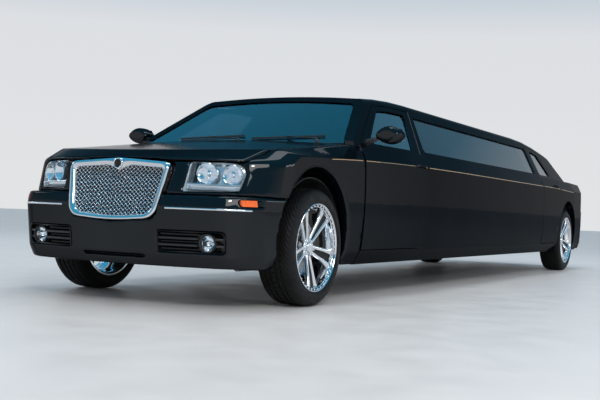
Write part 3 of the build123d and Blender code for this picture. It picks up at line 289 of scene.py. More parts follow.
AMBER_LENS = Finish("amber_lamp_lens", (0.95, 0.16, 0.012), (0.80, 0.10, 0.008), 60.0, (0.15, 0.25), coat=0.8)
RUBBER = Finish(
    "moulded_tyre_rubber", (0.005, 0.005, 0.0054), (0.010, 0.010, 0.010), 14.0, (0.50, 0.70), ior=1.28,
    grain=Grain.CAST, grain_size=500.0, grain_depth=0.0003, grain_strength=0.3)
CAST = Finish(
    "dark_cast_iron", (0.05, 0.05, 0.052), (0.085, 0.08, 0.075), 30.0, (0.5, 0.7), metal=0.6,
    grain=Grain.CAST, grain_size=350.0, grain_depth=0.0006, grain_strength=0.5)
STEEL = Finish(
    "dull_steel", (0.32, 0.32, 0.33), (0.22, 0.215, 0.21), 12.0, (0.35, 0.5), metal=1.0, grain=Grain.BRUSHED,
    grain_size=500.0, grain_strength=0.2)
DISC = Finish(
    "turned_brake_disc", (0.42, 0.42, 0.43), (0.32, 0.32, 0.33), 60.0, (0.22, 0.34), metal=1.0,
    grain=Grain.BRUSHED, grain_size=800.0, grain_strength=0.25)
ALUMINIUM = Finish(
    "cast_aluminium", (0.40, 0.41, 0.42), (0.30, 0.31, 0.32), 18.0, (0.38, 0.55), metal=0.9, grain=Grain.CAST,
    grain_size=300.0, grain_depth=0.0005, grain_strength=0.4)
UNDERSEAL = Finish(
    "matt_underseal", (0.010, 0.010, 0.010), (0.018, 0.017, 0.016), 10.0, (0.75, 0.92), grain=Grain.CAST,
    grain_size=220.0, grain_depth=0.001, grain_strength=0.5)
MOULDED = Finish(
    "grained_black_plastic", (0.014, 0.014, 0.015), (0.022, 0.022, 0.023), 16.0, (0.45, 0.6),
    grain=Grain.PEBBLE, grain_size=700.0, grain_depth=0.0003, grain_strength=0.35)
LEATHER = Finish(
    "black_grained_leather", (0.016, 0.015, 0.0145), (0.030, 0.028, 0.027), 9.0, (0.36, 0.52), coat=0.08,
    grain=Grain.PEBBLE, grain_size=420.0, grain_depth=0.0005, grain_strength=0.5)
STITCH = Finish("seam_thread", (0.10, 0.098, 0.094), (0.06, 0.058, 0.055), 200.0, (0.7, 0.85))
WOOD = Finish(
    "dark_polished_veneer", (0.060, 0.022, 0.010), (0.020, 0.008, 0.004), 3.0, (0.12, 0.2), coat=0.8,
    grain=Grain.VENEER, grain_size=60.0, grain_depth=0.0002, grain_strength=0.15)
CARPET = Finish(
    "black_cut_pile", (0.013, 0.013, 0.014), (0.024, 0.024, 0.025), 30.0, (0.9, 1.0), sheen=0.3,
    grain=Grain.PILE, grain_size=500.0, grain_depth=0.002, grain_strength=0.8)
HEADLINING = Finish(
    "grey_headlining", (0.16, 0.155, 0.15), (0.13, 0.126, 0.12), 8.0, (0.85, 0.95), sheen=0.2,
    grain=Grain.PILE, grain_size=900.0, grain_depth=0.0006, grain_strength=0.4)
MIRROR_GLASS = Finish("mirror_glass", (0.72, 0.75, 0.78), (0.68, 0.71, 0.75), 2.0, (0.01, 0.03), metal=1.0)
# Tan coach line on the shoulder crease; its colour also stands in for the crease's highlight, a painted
# highlight.
COACH_LINE_AND_HIGHLIGHT = Finish(
    "tan_coach_line_and_crease_highlight", (0.38, 0.22, 0.075), (0.30, 0.17, 0.055), 14.0, (0.3, 0.4), metal=0.3, coat=0.6)
# Near-black finish of the sheet behind the grille's mesh: painted shade inside the grille.
PAINTED_SHADE_WELL = Finish("unlit_recess", (0.004, 0.004, 0.004), (0.007, 0.007, 0.007), 20.0, (0.7, 0.9))
FLOOR = Finish(
    "pale_studio_floor", (0.67, 0.665, 0.655), (0.64, 0.635, 0.625), 1.2, (0.35, 0.5), grain=Grain.CAST,
    grain_size=30.0, grain_depth=0.0004, grain_strength=0.1)

SLOT_FINISH = {
    "paint": PAINT, "tinted_glass": TINTED, "privacy_glass": PRIVACY, "bright_chrome": CHROME,
    "clear_lens": CLEAR_LENS, "red_lens": RED_LENS, "amber_lens": AMBER_LENS, "tyre_rubber": RUBBER,
    "cast_part": CAST, "steel": STEEL, "bare_aluminium": ALUMINIUM, "underseal": UNDERSEAL,
    "black_plastic": MOULDED, "leather_trim": LEATHER, "dark_wood": WOOD,
}

MIRROR_Y = Matrix.Diagonal((1.0, -1.0, 1.0, 1.0))


def side_turn(side: float) -> Matrix:
    """Returns the move from the left side to a side."""
    return Matrix.Identity(4) if side == LEFT else MIRROR_Y


class Shape:
    """A mesh under construction, in metres."""

    def __init__(self) -> None:
        """Starts empty."""
        self.verts: list[Vector] = []
        self.faces: list[tuple[int, ...]] = []

    def add(self, points: Iterable[Sequence[float]]) -> list[int]:
        """Adds points.

        Args:
            points: their coordinates.

        Returns:
            Their numbers.
        """
        start = len(self.verts)
        self.verts.extend(Vector(p) for p in points)
        return list(range(start, len(self.verts)))

    def grid(self, rows: Sequence[Sequence[Sequence[float]]], round_rows: bool = False,
             round_columns: bool = False) -> "Shape":
        """Joins rows of points with quads.

        Args:
            rows: equally long rows.
            round_rows: whether each row closes on itself.
            round_columns: whether the last row joins the first.

        Returns:
            The shape, as the other building methods do.
        """
        numbers = [self.add(row) for row in rows]
        if round_columns:
            numbers.append(numbers[0])
        for low, high in zip(numbers, numbers[1:]):
            count = len(low)
            for i in range(count if round_rows else count - 1):
                j = (i + 1) % count
                self.faces.append((low[i], low[j], high[j], high[i]))
        return self

    def cap(self, loop: Sequence[Sequence[float]], flip: bool = False) -> None:
        """Closes a loop of points with one face, turned round if flip is set."""
        numbers = self.add(loop)
        self.faces.append(tuple(reversed(numbers)) if flip else tuple(numbers))

    def tube(self, path: Sequence[Sequence[float]], radius: float, sides: int = 8, closed: bool = False,
             flat: float = 1.0) -> "Shape":
        """Sweeps a round or oval bar along a path.

        Args:
            path: the centreline's points.
            radius: the bar's half width.
            sides: how many sides it has.
            closed: whether the path closes on itself.
            flat: height of the section as a share of its width.

        Returns:
            The shape.
        """
        points = [Vector(p) for p in path]
        count = len(points)
        rows = []
        up = Vector(UP)
        for i, here in enumerate(points):
            before = points[(i - 1) % count] if closed or i > 0 else here
            after = points[(i + 1) % count] if closed or i < count - 1 else here
            along = (after - before).normalized()
            side = along.cross(up)
            side = side.normalized() if side.length > 1e-4 else Vector((0.0, 1.0, 0.0))
            rise = side.cross(along).normalized()
            rows.append([here + radius * (math.cos(a) * side + flat * math.sin(a) * rise)
                         for a in (2 * math.pi * k / sides for k in range(sides))])
        return self.grid(rows, round_rows=True, round_columns=True) if closed else self.loft(rows)

    def loft(self, rows: Sequence[Sequence[Sequence[float]]]) -> "Shape":
        """Joins closed sections and closes both ends.

        Args:
            rows: the sections, as rows of points.

        Returns:
            The shape.
        """
        self.grid(rows, round_rows=True)
        self.cap(rows[0], flip=True)
        self.cap(rows[-1])
        return self

    def lathe(self, profile: Sequence[Flat], centre: Point, axis: str = "y", steps: int = 64,
              closed: bool = False) -> "Shape":
        """Turns a profile of radius and height about an axis.

        Args:
            profile: radius and place along the axis.
            centre: a point on the axis.
            axis: "x", "y" or "z".
            steps: divisions of the turn.
            closed: whether the profile closes on itself.

        Returns:
            The shape.
        """
        rows = []
        for k in range(steps):
            angle = 2 * math.pi * k / steps
            c, s = math.cos(angle), math.sin(angle)
            row = []
            for radius, height in profile:
                local = {"x": (height, radius * c, radius * s), "y": (radius * c, height, radius * s),
                         "z": (radius * c, radius * s, height)}[axis]
                row.append(tuple(a + b for a, b in zip(local, centre)))
            rows.append(row)
        return self.grid(rows, round_rows=closed, round_columns=True)

    def block(self, low: Point, high: Point) -> "Shape":
        """Adds a box between its lowest and its highest corner, to be rounded by a bevel."""
        (x0, y0, z0), (x1, y1, z1) = low, high
        return self.brick([(x, y, z) for z in (z0, z1) for x, y in ((x0, y0), (x1, y0), (x1, y1), (x0, y1))])

    def brick(self, corners: Sequence[Point]) -> "Shape":
        """Adds a six-sided solid.

        Args:
            corners: four corners of one end in order, then the four that face them.

        Returns:
            The shape.
        """
        numbers = self.add(corners)
        for quad in ((3, 2, 1, 0), (4, 5, 6, 7), (0, 1, 5, 4), (1, 2, 6, 5), (2, 3, 7, 6), (3, 0, 4, 7)):
            self.faces.append(tuple(numbers[i] for i in quad))
        return self

    def move(self, matrix: Matrix) -> "Shape":
        """Returns a moved copy.

        Args:
            matrix: the move, which may mirror.

        Returns:
            The copy.
        """
        copy = Shape()
        copy.verts = [matrix @ v for v in self.verts]
        turned = matrix.to_3x3().determinant() < 0
        copy.faces = [tuple(reversed(f)) if turned else f for f in self.faces]
        return copy

    def paired(self) -> "Shape":
        """Returns the shape with its mirror image on the other side of the body."""
        both = self.move(Matrix.Identity(4))
        both.join(self.move(MIRROR_Y))
        return both

    def join(self, other: "Shape") -> None:
        """Takes in another shape's faces.

        Args:
            other: the shape.
        """
        start = len(self.verts)
        self.verts.extend(other.verts)
        self.faces.extend(tuple(i + start for i in f) for f in other.faces)

    def mesh(self, name: str) -> bpy.types.Mesh:
        """Makes the Blender mesh.

        Args:
            name: its name.

        Returns:
            The mesh.
        """
        made = bpy.data.meshes.new(name)
        made.from_pydata([tuple(v) for v in self.verts], [], self.faces)
        return made

    def object(self, name: str, finish: Finish, smooth: float = 35.0, bevel: float = 0.0,
               subdivide: int = 0) -> bpy.types.Object:
        """Makes the Blender object.

        Args:
            name: the piece's name.
            finish: its finish.
            smooth: edges flatter than this many degrees are shaded smooth.
            bevel: width of the rounding in metres.
            subdivide: subdivision levels.

        Returns:
            The object.
        """
        mesh = self.mesh(name)
        mesh.validate()
        mesh.materials.append(finish.material())
        made = linked(name, mesh)
        weld(mesh)
        if bevel > 0.0:
            rounding = made.modifiers.new("rounding", "BEVEL")
            rounding.width = bevel
            rounding.segments = 3
            rounding.limit_method = "ANGLE"
            rounding.harden_normals = False
        if subdivide:
            surface = made.modifiers.new("surface", "SUBSURF")
            surface.levels = subdivide
            surface.render_levels = subdivide
        shade(mesh, smooth)
        return made


def linked(name: str, data: bpy.types.ID) -> bpy.types.Object:
    """Puts data into the scene.

    Args:
        name: the object's name.
        data: its mesh, lamp or camera.

    Returns:
        The object.
    """
    made = bpy.data.objects.new(name, data)
    bpy.context.scene.collection.objects.link(made)
    return made


def weld(mesh: bpy.types.Mesh) -> None:
    """Merges doubled points and turns the faces outwards.

    Args:
        mesh: the mesh.
    """
    work = bmesh.new()
    work.from_mesh(mesh)
    bmesh.ops.remove_doubles(work, verts=work.verts, dist=1e-5)
    bmesh.ops.recalc_face_normals(work, faces=work.faces)
    work.to_mesh(mesh)
    work.free()


def shade(mesh: bpy.types.Mesh, angle: float) -> None:
    """Shades smooth, apart from edges sharper than an angle in degrees."""
    mesh.polygons.foreach_set("use_smooth", [True] * len(mesh.polygons))
    mesh.set_sharp_from_angle(angle=math.radians(angle))


def place(piece: bpy.types.Object, body: str, slot: str, *nodes: str) -> bpy.types.Object:
    """Hangs a piece on its body and reports it.

    Args:
        piece: the piece.
        body: the CAD body that carries it.
        slot: the record's material slot; not used.
        nodes: the CAD nodes that it stands for.

    Returns:
        The piece.
    """
    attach(piece, body)
    if nodes:
        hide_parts(*nodes)
    LOG.info("%s rides on %s", piece.name, body)
    return piece


def rounded(corners: Sequence[Flat], radii: Sequence[float], arc: int = 8, straight: int = 6) -> list[Flat]:
    """Rounds a flat polygon's corners.

    Args:
        corners: the corners in order.
        radii: a rounding for each.
        arc: points on each rounding.
        straight: points on each straight side.

    Returns:
        The closed outline, with as many points whatever the sizes.
    """
    count = len(corners)
    arcs = []
    for i, radius in enumerate(radii):
        here = Vector(corners[i])
        back = Vector(corners[i - 1]) - here
        on = Vector(corners[(i + 1) % count]) - here
        reach = min(radius, 0.48 * back.length, 0.48 * on.length)
        a, b = here + back.normalized() * reach, here + on.normalized() * reach
        arcs.append([a * (1 - t) ** 2 + here * 2 * t * (1 - t) + b * t * t
                     for t in (k / arc for k in range(arc + 1))])
    out: list[Flat] = []
    for i, points in enumerate(arcs):
        out.extend((p.x, p.y) for p in points)
        end, start = points[-1], arcs[(i + 1) % count][0]
        out.extend(tuple(end.lerp(start, k / (straight + 1))) for k in range(1, straight + 1))
    return out


def scaled(line: Sequence[Flat], middle: Sequence[float], share: float) -> list[Vector]:
    """Returns a flat outline shrunk or grown about a point to a share of its size."""
    return [Vector(middle) + (Vector(p) - Vector(middle)) * share for p in line]


def spaced(a: float, b: float, count: int) -> list[float]:
    """Returns count values from a to b."""
    return [a + (b - a) * k / (count - 1) for k in range(count)]


def between(table: Sequence[Sequence[float]], x: float) -> list[float]:
    """Reads a table whose first column rises, in straight runs.

    Args:
        table: rows of x and values.
        x: where to read it.

    Returns:
        The values there.
    """
    rows = sorted(table)
    if x <= rows[0][0]:
        return list(rows[0][1:])
    for low, high in zip(rows, rows[1:]):
        if x <= high[0]:
            t = (x - low[0]) / (high[0] - low[0])
            return [a + (b - a) * t for a, b in zip(low[1:], high[1:])]
    return list(rows[-1][1:])


class Skin:
    """Finds the outer surface of CAD nodes, to seat trim on it."""

    def __init__(self, *nodes: str) -> None:
        """Builds the search trees.

        Args:
            nodes: the CAD nodes.
        """
        self.trees = []
        for node in nodes:
            mesh = frame["nodes"][node].data
            corners, sides = [v.co for v in mesh.vertices], [p.vertices for p in mesh.polygons]
            self.trees.append(BVHTree.FromPolygons(corners, sides))

    def hit(self, start: Sequence[float], along: Sequence[float]) -> Optional[tuple[Vector, Vector]]:
        """Finds where a ray first meets the nodes.

        Args:
            start: the ray's start.
            along: its direction.

        Returns:
            The point and the surface's normal there, or None.
        """
        best = None
        for tree in self.trees:
            point, normal, _, distance = tree.ray_cast(Vector(start), Vector(along).normalized())
            if point is not None and (best is None or distance < best[2]):
                best = (point, normal, distance)
        return None if best is None else (best[0], best[1])

    def side(self, x: float, z: float, side: float = LEFT) -> Optional[tuple[Vector, Vector]]:
        """Returns the side's point and normal at X and a height, or None."""
        return self.hit((x, BESIDE_Y * side, z), (0.0, -side, 0.0))

    def front(self, y: float, z: float) -> Optional[tuple[Vector, Vector]]:
        """Returns the front's point and normal at a width and a height, or None."""
        return self.hit((AHEAD_X, y, z), BACKWARDS)

    def rear(self, y: float, z: float) -> Optional[tuple[Vector, Vector]]:
        """Returns the rear's point and normal at a width and a height, or None."""
        return self.hit((BEHIND_X, y, z), FORWARDS)


def strip(points: Sequence[tuple[Vector, Vector]], section: Sequence[Flat]) -> Shape:
    """Lays a level moulding along seated points.

    Args:
        points: points on the surface with their normals.
        section: its section as (up, out) pairs, first and last on the surface.

    Returns:
        The shape.
    """
    rows = []
    for point, normal in points:
        out = normal.normalized()
        rise = Vector(UP) - out * out.dot(Vector(UP))
        rise.normalize()
        rows.append([point + rise * u + out * v for u, v in section])
    return Shape().loft(rows)


@dataclass
class Studio:
    """Camera, floor and lights.

    Args:
        camera_at: the camera's place.
        yaw: how far it is turned from looking straight back along the body, in degrees.
        pitch: how far it looks up, in degrees.
        roll: its roll in degrees.
        lens: focal length in millimetres for a 36 mm sensor.
        floor_radius: radius of the floor.
        light_colour: colour of the light all round.
        light_strength: its strength.
        surround: what is seen of the studio, from the horizon up, as sine of the height and colour.
        boxes: soft boxes as name, place, what they face, size, power and colour.
    """

    camera_at: Point = (8.7861, 3.6680, 0.5781)
    yaw: float = 28.1214
    pitch: float = 0.7140
    roll: float = 2.2061
    lens: float = 58.91
    floor_radius: float = 70.0
    light_colour: Point = (0.84, 0.88, 0.94)
    light_strength: float = 0.80
    surround: tuple[tuple[float, Point], ...] = (
        (0.0, (0.76, 0.77, 0.78)), (0.18, (0.72, 0.74, 0.77)), (0.32, (0.13, 0.33, 0.48)),
        (0.60, (0.04, 0.31, 0.52)), (1.0, (0.05, 0.41, 0.66)))
    boxes: tuple[tuple[str, Point, Point, Flat, float, Point], ...] = (
        ("key_box", (10.0, 8.0, 7.0), (1.5, 0.0, 0.6), (6.0, 3.6), 360.0, (1.0, 0.97, 0.93)),
        ("top_box", (-1.0, 0.6, 7.5), (-1.0, 0.0, 0.8), (13.0, 1.4), 230.0, (0.93, 0.96, 1.0)),
        ("side_box", (-3.0, 9.5, 3.6), (-2.5, 0.9, 0.6), (8.0, 1.0), 100.0, (0.95, 0.97, 1.0)),
        ("far_box", (2.0, -9.5, 5.0), (1.0, 0.0, 0.8), (7.0, 1.6), 110.0, (0.95, 0.97, 1.0)),
        ("sparkle_lamp", (10.5, 6.0, 5.6), (2.6, 0.6, 0.7), (0.7, 0.7), 150.0, (1.0, 0.98, 0.95)))

    def build(self) -> None:
        """Makes the camera, the floor, the world and the lamps."""
        self.camera()
        self.floor()
        self.world()
        self.lamps()
        bpy.context.scene.view_settings.view_transform = "Standard"

    def camera(self) -> None:
        """Makes the camera and sets it."""
        yaw, pitch, roll = (math.radians(a) for a in (self.yaw, self.pitch, self.roll))
        ahead = Vector((-math.cos(yaw) * math.cos(pitch), -math.sin(yaw) * math.cos(pitch), math.sin(pitch)))
        level = ahead.cross(Vector(UP)).normalized()
        rise = level.cross(ahead)
        right = level * math.cos(roll) + rise * math.sin(roll)
        up = rise * math.cos(roll) - level * math.sin(roll)
        data = bpy.data.cameras.new("view")
        data.sensor_fit = "HORIZONTAL"
        data.sensor_width = 36.0
        data.lens = self.lens
        data.clip_end = 400.0
        made = linked("view", data)
        made.matrix_world = Matrix([*zip(right, up, -ahead, self.camera_at), (0.0, 0.0, 0.0, 1.0)])
        bpy.context.scene.camera = made

    def floor(self) -> None:
        """Makes a wide pale floor."""
        shape = Shape().lathe([(radius, 0.0) for radius in (0.001, 3.0, 8.0, 20.0, self.floor_radius)],
                              ORIGIN, "z", 64)
        shape.object("studio_floor", FLOOR)

    def world(self) -> None:
        """Makes the surround: wall and ceiling to eye, gloss and glass, and even light to all else."""
        world = bpy.data.worlds.new("studio")
        bpy.context.scene.world = world
        world.use_nodes = True
        tree = world.node_tree
        tree.nodes.clear()
        light = tree.nodes.new("ShaderNodeBackground")
        light.inputs["Color"].default_value = (*self.light_colour, 1.0)
        light.inputs["Strength"].default_value = self.light_strength
        seen = tree.nodes.new("ShaderNodeBackground")
        seen.inputs["Strength"].default_value = 1.0
        coords = tree.nodes.new("ShaderNodeTexCoord")
        split = tree.nodes.new("ShaderNodeSeparateXYZ")
        ramp = tree.nodes.new("ShaderNodeValToRGB")
        first, *middle, last = self.surround
        for element, (at, tone) in zip(ramp.color_ramp.elements, (first, last)):
            element.position = at
            element.color = (*tone, 1.0)
        for at, tone in middle:
            ramp.color_ramp.elements.new(at).color = (*tone, 1.0)
        tree.links.new(coords.outputs["Generated"], split.inputs["Vector"])
        tree.links.new(split.outputs["Z"], ramp.inputs["Fac"])
        tree.links.new(ramp.outputs["Color"], seen.inputs["Color"])
        path = tree.nodes.new("ShaderNodeLightPath")
        share = path.outputs["Is Camera Ray"]
        for ray in ("Is Glossy Ray", "Is Transmission Ray"):
            either = tree.nodes.new("ShaderNodeMath")
            either.operation = "MAXIMUM"
            tree.links.new(share, either.inputs[0])
            tree.links.new(path.outputs[ray], either.inputs[1])
            share = either.outputs["Value"]
        mix = tree.nodes.new("ShaderNodeMixShader")
        out = tree.nodes.new("ShaderNodeOutputWorld")
        for number, source in enumerate((share, light.outputs["Background"], seen.outputs["Background"])):
            tree.links.new(source, mix.inputs[number])
        tree.links.new(mix.outputs["Shader"], out.inputs["Surface"])

    def lamps(self) -> None:
        """Makes the soft boxes."""
        for name, at, look, size, power, tint in self.boxes:
            data = bpy.data.lights.new(name, "AREA")
            data.shape = "RECTANGLE"
            data.size, data.size_y = size
            data.energy = power
            data.color = tint
            made = linked(name, data)
            made.location = at
            made.rotation_euler = (Vector(look) - Vector(at)).to_track_quat("-Z", "Y").to_euler()


class Corner(Enum):
    """The four wheels."""

    FRONT_LEFT = ("front_left", FRONT_AXLE_X, LEFT)
    FRONT_RIGHT = ("front_right", FRONT_AXLE_X, RIGHT)
    REAR_LEFT = ("rear_left", REAR_AXLE_X, LEFT)
    REAR_RIGHT = ("rear_right", REAR_AXLE_X, RIGHT)

    @property
    def matrix(self) -> Matrix:
        """The move from a wheel at the origin with its outer face towards +Y."""
        _, x, side = self.value
        return Matrix.Translation((x, WHEEL_Y * side, AXLE_Z)) @ side_turn(side)


@dataclass
class RoadWheel:
    """Chrome wheel of five split spokes with a riveted lip, its disc and its tyre, in metres."""

    pairs: int = 5
    rivets: int = 40
    rivet_ring: float = 0.2575
    rivet_r: float = 0.0057
    hub_r: float = 0.060
    cap_r: float = 0.031
    bolts: int = 5
    bolt_ring: float = 0.0455
    disc_r: float = 0.172
    vanes: int = 36
    pitches: int = 66
    tread_depth: float = 0.0075
    slant: float = 5.0
    # Radius and place across.
    rim_profile: tuple[Flat, ...] = (
        (0.2725, 0.111), (0.2735, 0.1155), (0.2720, 0.1188), (0.2685, 0.1200), (0.2655, 0.1180),
        (0.2640, 0.1130), (0.2625, 0.1100), (0.2520, 0.1090), (0.2495, 0.1070), (0.2485, 0.1030),
        (0.2480, 0.0900), (0.2440, 0.0780), (0.2380, 0.0600), (0.2350, 0.0450), (0.2345, 0.0),
        (0.2360, -0.050), (0.2480, -0.084), (0.2500, -0.106), (0.2620, -0.118), (0.2720, -0.118),
        (0.2720, -0.110), (0.2620, -0.098), (0.2600, -0.076), (0.2460, -0.040), (0.2460, 0.044),
        (0.2600, 0.078), (0.2620, 0.098))
    # Radius, distance from the pair's middle, half width, back and face.
    leg_path: tuple[tuple[float, ...], ...] = (
        (0.034, 0.0130, 0.0130, 0.036, 0.060), (0.060, 0.0185, 0.0125, 0.038, 0.064),
        (0.090, 0.0240, 0.0120, 0.042, 0.070), (0.130, 0.0285, 0.0120, 0.050, 0.078),
        (0.170, 0.0330, 0.0130, 0.058, 0.086), (0.205, 0.0385, 0.0155, 0.065, 0.093),
        (0.230, 0.0440, 0.0200, 0.070, 0.098), (0.247, 0.0490, 0.0270, 0.074, 0.101))
    # Radius, place across, and 0 for plain, 1 for tread with cuts, 2 for the shoulder, 3 for a groove.
    tyre_half: tuple[tuple[float, float, int], ...] = (
        (0.2640, 0.1000, 0), (0.2690, 0.1100, 0), (0.2760, 0.1178, 0), (0.2830, 0.1205, 0),
        (0.2870, 0.1195, 0), (0.2900, 0.1212, 0), (0.3000, 0.1224, 0), (0.3120, 0.1218, 0),
        (0.3150, 0.1208, 0), (0.3180, 0.1212, 0), (0.3280, 0.1188, 0), (0.3380, 0.1150, 0),
        (0.3440, 0.1112, 0), (0.3462, 0.1096, 2), (0.3520, 0.1040, 2), (0.3565, 0.0980, 1),
        (0.3600, 0.0900, 1), (0.3620, 0.0800, 1), (0.3632, 0.0680, 1), (0.3636, 0.0600, 1),
        (0.3637, 0.0585, 3), (0.3637, 0.0505, 3), (0.3637, 0.0490, 1), (0.3639, 0.0380, 1),
        (0.3640, 0.0260, 1), (0.3640, 0.0245, 3), (0.3640, 0.0165, 3), (0.3640, 0.0150, 1),
        (0.3640, 0.0070, 1))

    def build(self) -> None:
        """Makes every wheel, disc and tyre."""
        # Name, shape, finish, smoothing in degrees, subdivisions, slot and the CAD node it stands for.
        pieces = (("rim_", self.rim(), CHROME, 40.0, 0, "bright_chrome", "wheel_"),
                  ("spokes_", self.spokes(), CHROME, 60.0, 2, "bright_chrome", ""),
                  ("rivets_", self.details(), CHROME, 60.0, 0, "bright_chrome", ""),
                  # gloss black floors in the chrome spokes and under the rivets: painted dark reflection
                  ("inlays_", self.painted_reflection_floors(), GLOSS_TRIM, 50.0, 0, "bright_chrome", ""),
                  ("brake_disc_", self.disc(), DISC, 35.0, 0, "bright_chrome", ""),
                  ("tread_", self.tyre(), RUBBER, 28.0, 0, "tyre_rubber", "tyre_"))
        for corner in Corner:
            name, _, _ = corner.value
            for piece, shape, finish, smooth, levels, slot, node in pieces:
                made = shape.move(corner.matrix).object(piece + name, finish, smooth, subdivide=levels)
                place(made, "roller_" + name, slot, *((node + name,) if node else ()))

    def rim(self) -> Shape:
        """Returns the lip and barrel."""
        return Shape().lathe(self.rim_profile, ORIGIN, "y", 120, closed=True)

    def star(self, arm: Shape) -> Shape:
        """Turns an arm round the wheel, once for each split spoke, the first pointing straight up.

        Args:
            arm: the arm, lying along +X.

        Returns:
            All its copies.
        """
        shape = Shape()
        for k in range(self.pairs):
            shape.join(arm.move(Matrix.Rotation(math.radians(90.0 + 360.0 * k / self.pairs), 4, "Y")))
        return shape

    def leg(self, side: float) -> Shape:
        """Makes one leg of a split spoke, lying along +X.

        Args:
            side: which leg of the pair.

        Returns:
            The leg as a closed cage for subdivision.
        """
        rows = []
        for r, offset, half, back, face in self.leg_path:
            z = offset * side
            rows.append([(r, back, z - half * 0.9), (r, face - 0.007, z - half), (r, face, z - half * 0.55),
                         (r, face, z + half * 0.55), (r, face - 0.007, z + half), (r, back, z + half * 0.9)])
        return Shape().loft(rows)

    def spokes(self) -> Shape:
        """Returns all the legs and the hub that they grow from."""
        pair = self.leg(1.0)
        pair.join(self.leg(-1.0))
        hub = [(0.0335, 0.010), (self.hub_r, 0.010), (self.hub_r, 0.040), (self.hub_r - 0.002, 0.056),
               (self.hub_r - 0.010, 0.0625), (0.040, 0.0640), (0.0335, 0.062)]
        return self.star(pair).lathe(hub, ORIGIN, "y", 40, closed=True)

    def painted_reflection_floors(self) -> Shape:
        """Returns gloss black floors between the legs of each pair and a band under the rivets, painted in
        for the chrome's dark reflections.
        """
        rows = []
        for r, offset, half, _, face in self.leg_path[1:]:
            wide = offset - half * 0.35
            rows.append([(r, face - 0.011, -wide), (r, face - 0.014, 0.0), (r, face - 0.011, wide),
                         (r, face - 0.020, wide), (r, face - 0.023, 0.0), (r, face - 0.020, -wide)])
        low, high = self.rivet_ring - 0.0050, self.rivet_ring + 0.0048
        band = [(low, 0.1088), (low, 0.1096), (high, 0.1100), (high, 0.1088)]
        return self.star(Shape().loft(rows)).lathe(band, ORIGIN, "y", 96, closed=True)

    def details(self) -> Shape:
        """Returns the lip's rivets, the wheel nuts, the plain cap and the valve."""
        shape = Shape()
        dome = [(self.rivet_r, -0.002), (self.rivet_r, 0.0026), (self.rivet_r * 0.8, 0.0058),
                (self.rivet_r * 0.4, 0.0078), (0.0003, 0.0084)]
        for k in range(self.rivets):
            a = 2 * math.pi * k / self.rivets
            shape.lathe(dome, (self.rivet_ring * math.cos(a), 0.1090, self.rivet_ring * math.sin(a)), "y", 8)
        nut = [(0.0095, 0.045), (0.0095, 0.070), (0.0080, 0.0735), (0.0004, 0.0740)]
        for k in range(self.bolts):
            a = 2 * math.pi * (k + 0.5) / self.bolts
            shape.lathe(nut, (self.bolt_ring * math.sin(a), 0.0, self.bolt_ring * math.cos(a)), "y", 6)
        shape.lathe([(0.0360, 0.040), (0.0360, 0.070), (0.0330, 0.0740), (self.cap_r, 0.0745),
                     (0.0285, 0.0730), (0.020, 0.0765), (0.010, 0.0785), (0.0004, 0.0790)], ORIGIN, "y", 40)
        return shape.tube([(0.0, 0.070, 0.2380), (0.0, 0.088, 0.2330), (0.0, 0.101, 0.2290)], 0.0042, 8)

    def disc(self) -> Shape:
        """Returns the vented brake disc with its hat."""
        shape = Shape()
        r = self.disc_r
        for y0, y1 in ((-0.024, -0.014), (-0.006, 0.004)):
            shape.lathe([(0.098, y0), (r, y0), (r, y1), (0.098, y1)], ORIGIN, "y", 72, closed=True)
        vane = Shape().block((0.100, -0.0145, -0.002), (r - 0.003, -0.0055, 0.002))
        for k in range(self.vanes):
            shape.join(vane.move(Matrix.Rotation(2 * math.pi * k / self.vanes, 4, "Y")))
        shape.lathe([(0.100, -0.010), (0.100, 0.004), (0.086, 0.004), (0.082, 0.030), (0.076, 0.034),
                     (0.0335, 0.034), (0.0335, 0.026), (0.074, 0.026), (0.078, -0.010)],
                    ORIGIN, "y", 72, closed=True)
        return shape

    def tyre(self) -> Shape:
        """Returns the tyre with its slanting tread blocks, grooves and sidewall ribs."""
        profile = [*self.tyre_half, *((r, -y, kind) for r, y, kind in reversed(self.tyre_half))]
        # Places along one pitch, and whether the cut runs there.
        parts = ((0.0, False), (0.40, False), (0.76, False), (0.80, True), (0.96, True))
        shoulder_y, shoulder_cut, bead_y = 0.105, 0.003, 0.060
        rows = []
        for k in range(self.pitches):
            for part, cut in parts:
                row = []
                for r, y, kind in profile:
                    lead = self.slant * max(0.0, shoulder_y - abs(y)) / shoulder_y
                    angle = 2 * math.pi * (k + part + lead) / self.pitches
                    depth = self.tread_depth if (kind == 3 or (kind == 1 and cut)) else 0.0
                    if kind == 2 and cut:
                        depth = shoulder_cut
                    row.append(((r - depth) * math.cos(angle), y, (r - depth) * math.sin(angle)))
                x, _, z = row[0]
                rows.append(row + [(x, -bead_y, z), (x, bead_y, z)])
        return Shape().grid(rows, round_rows=True, round_columns=True)


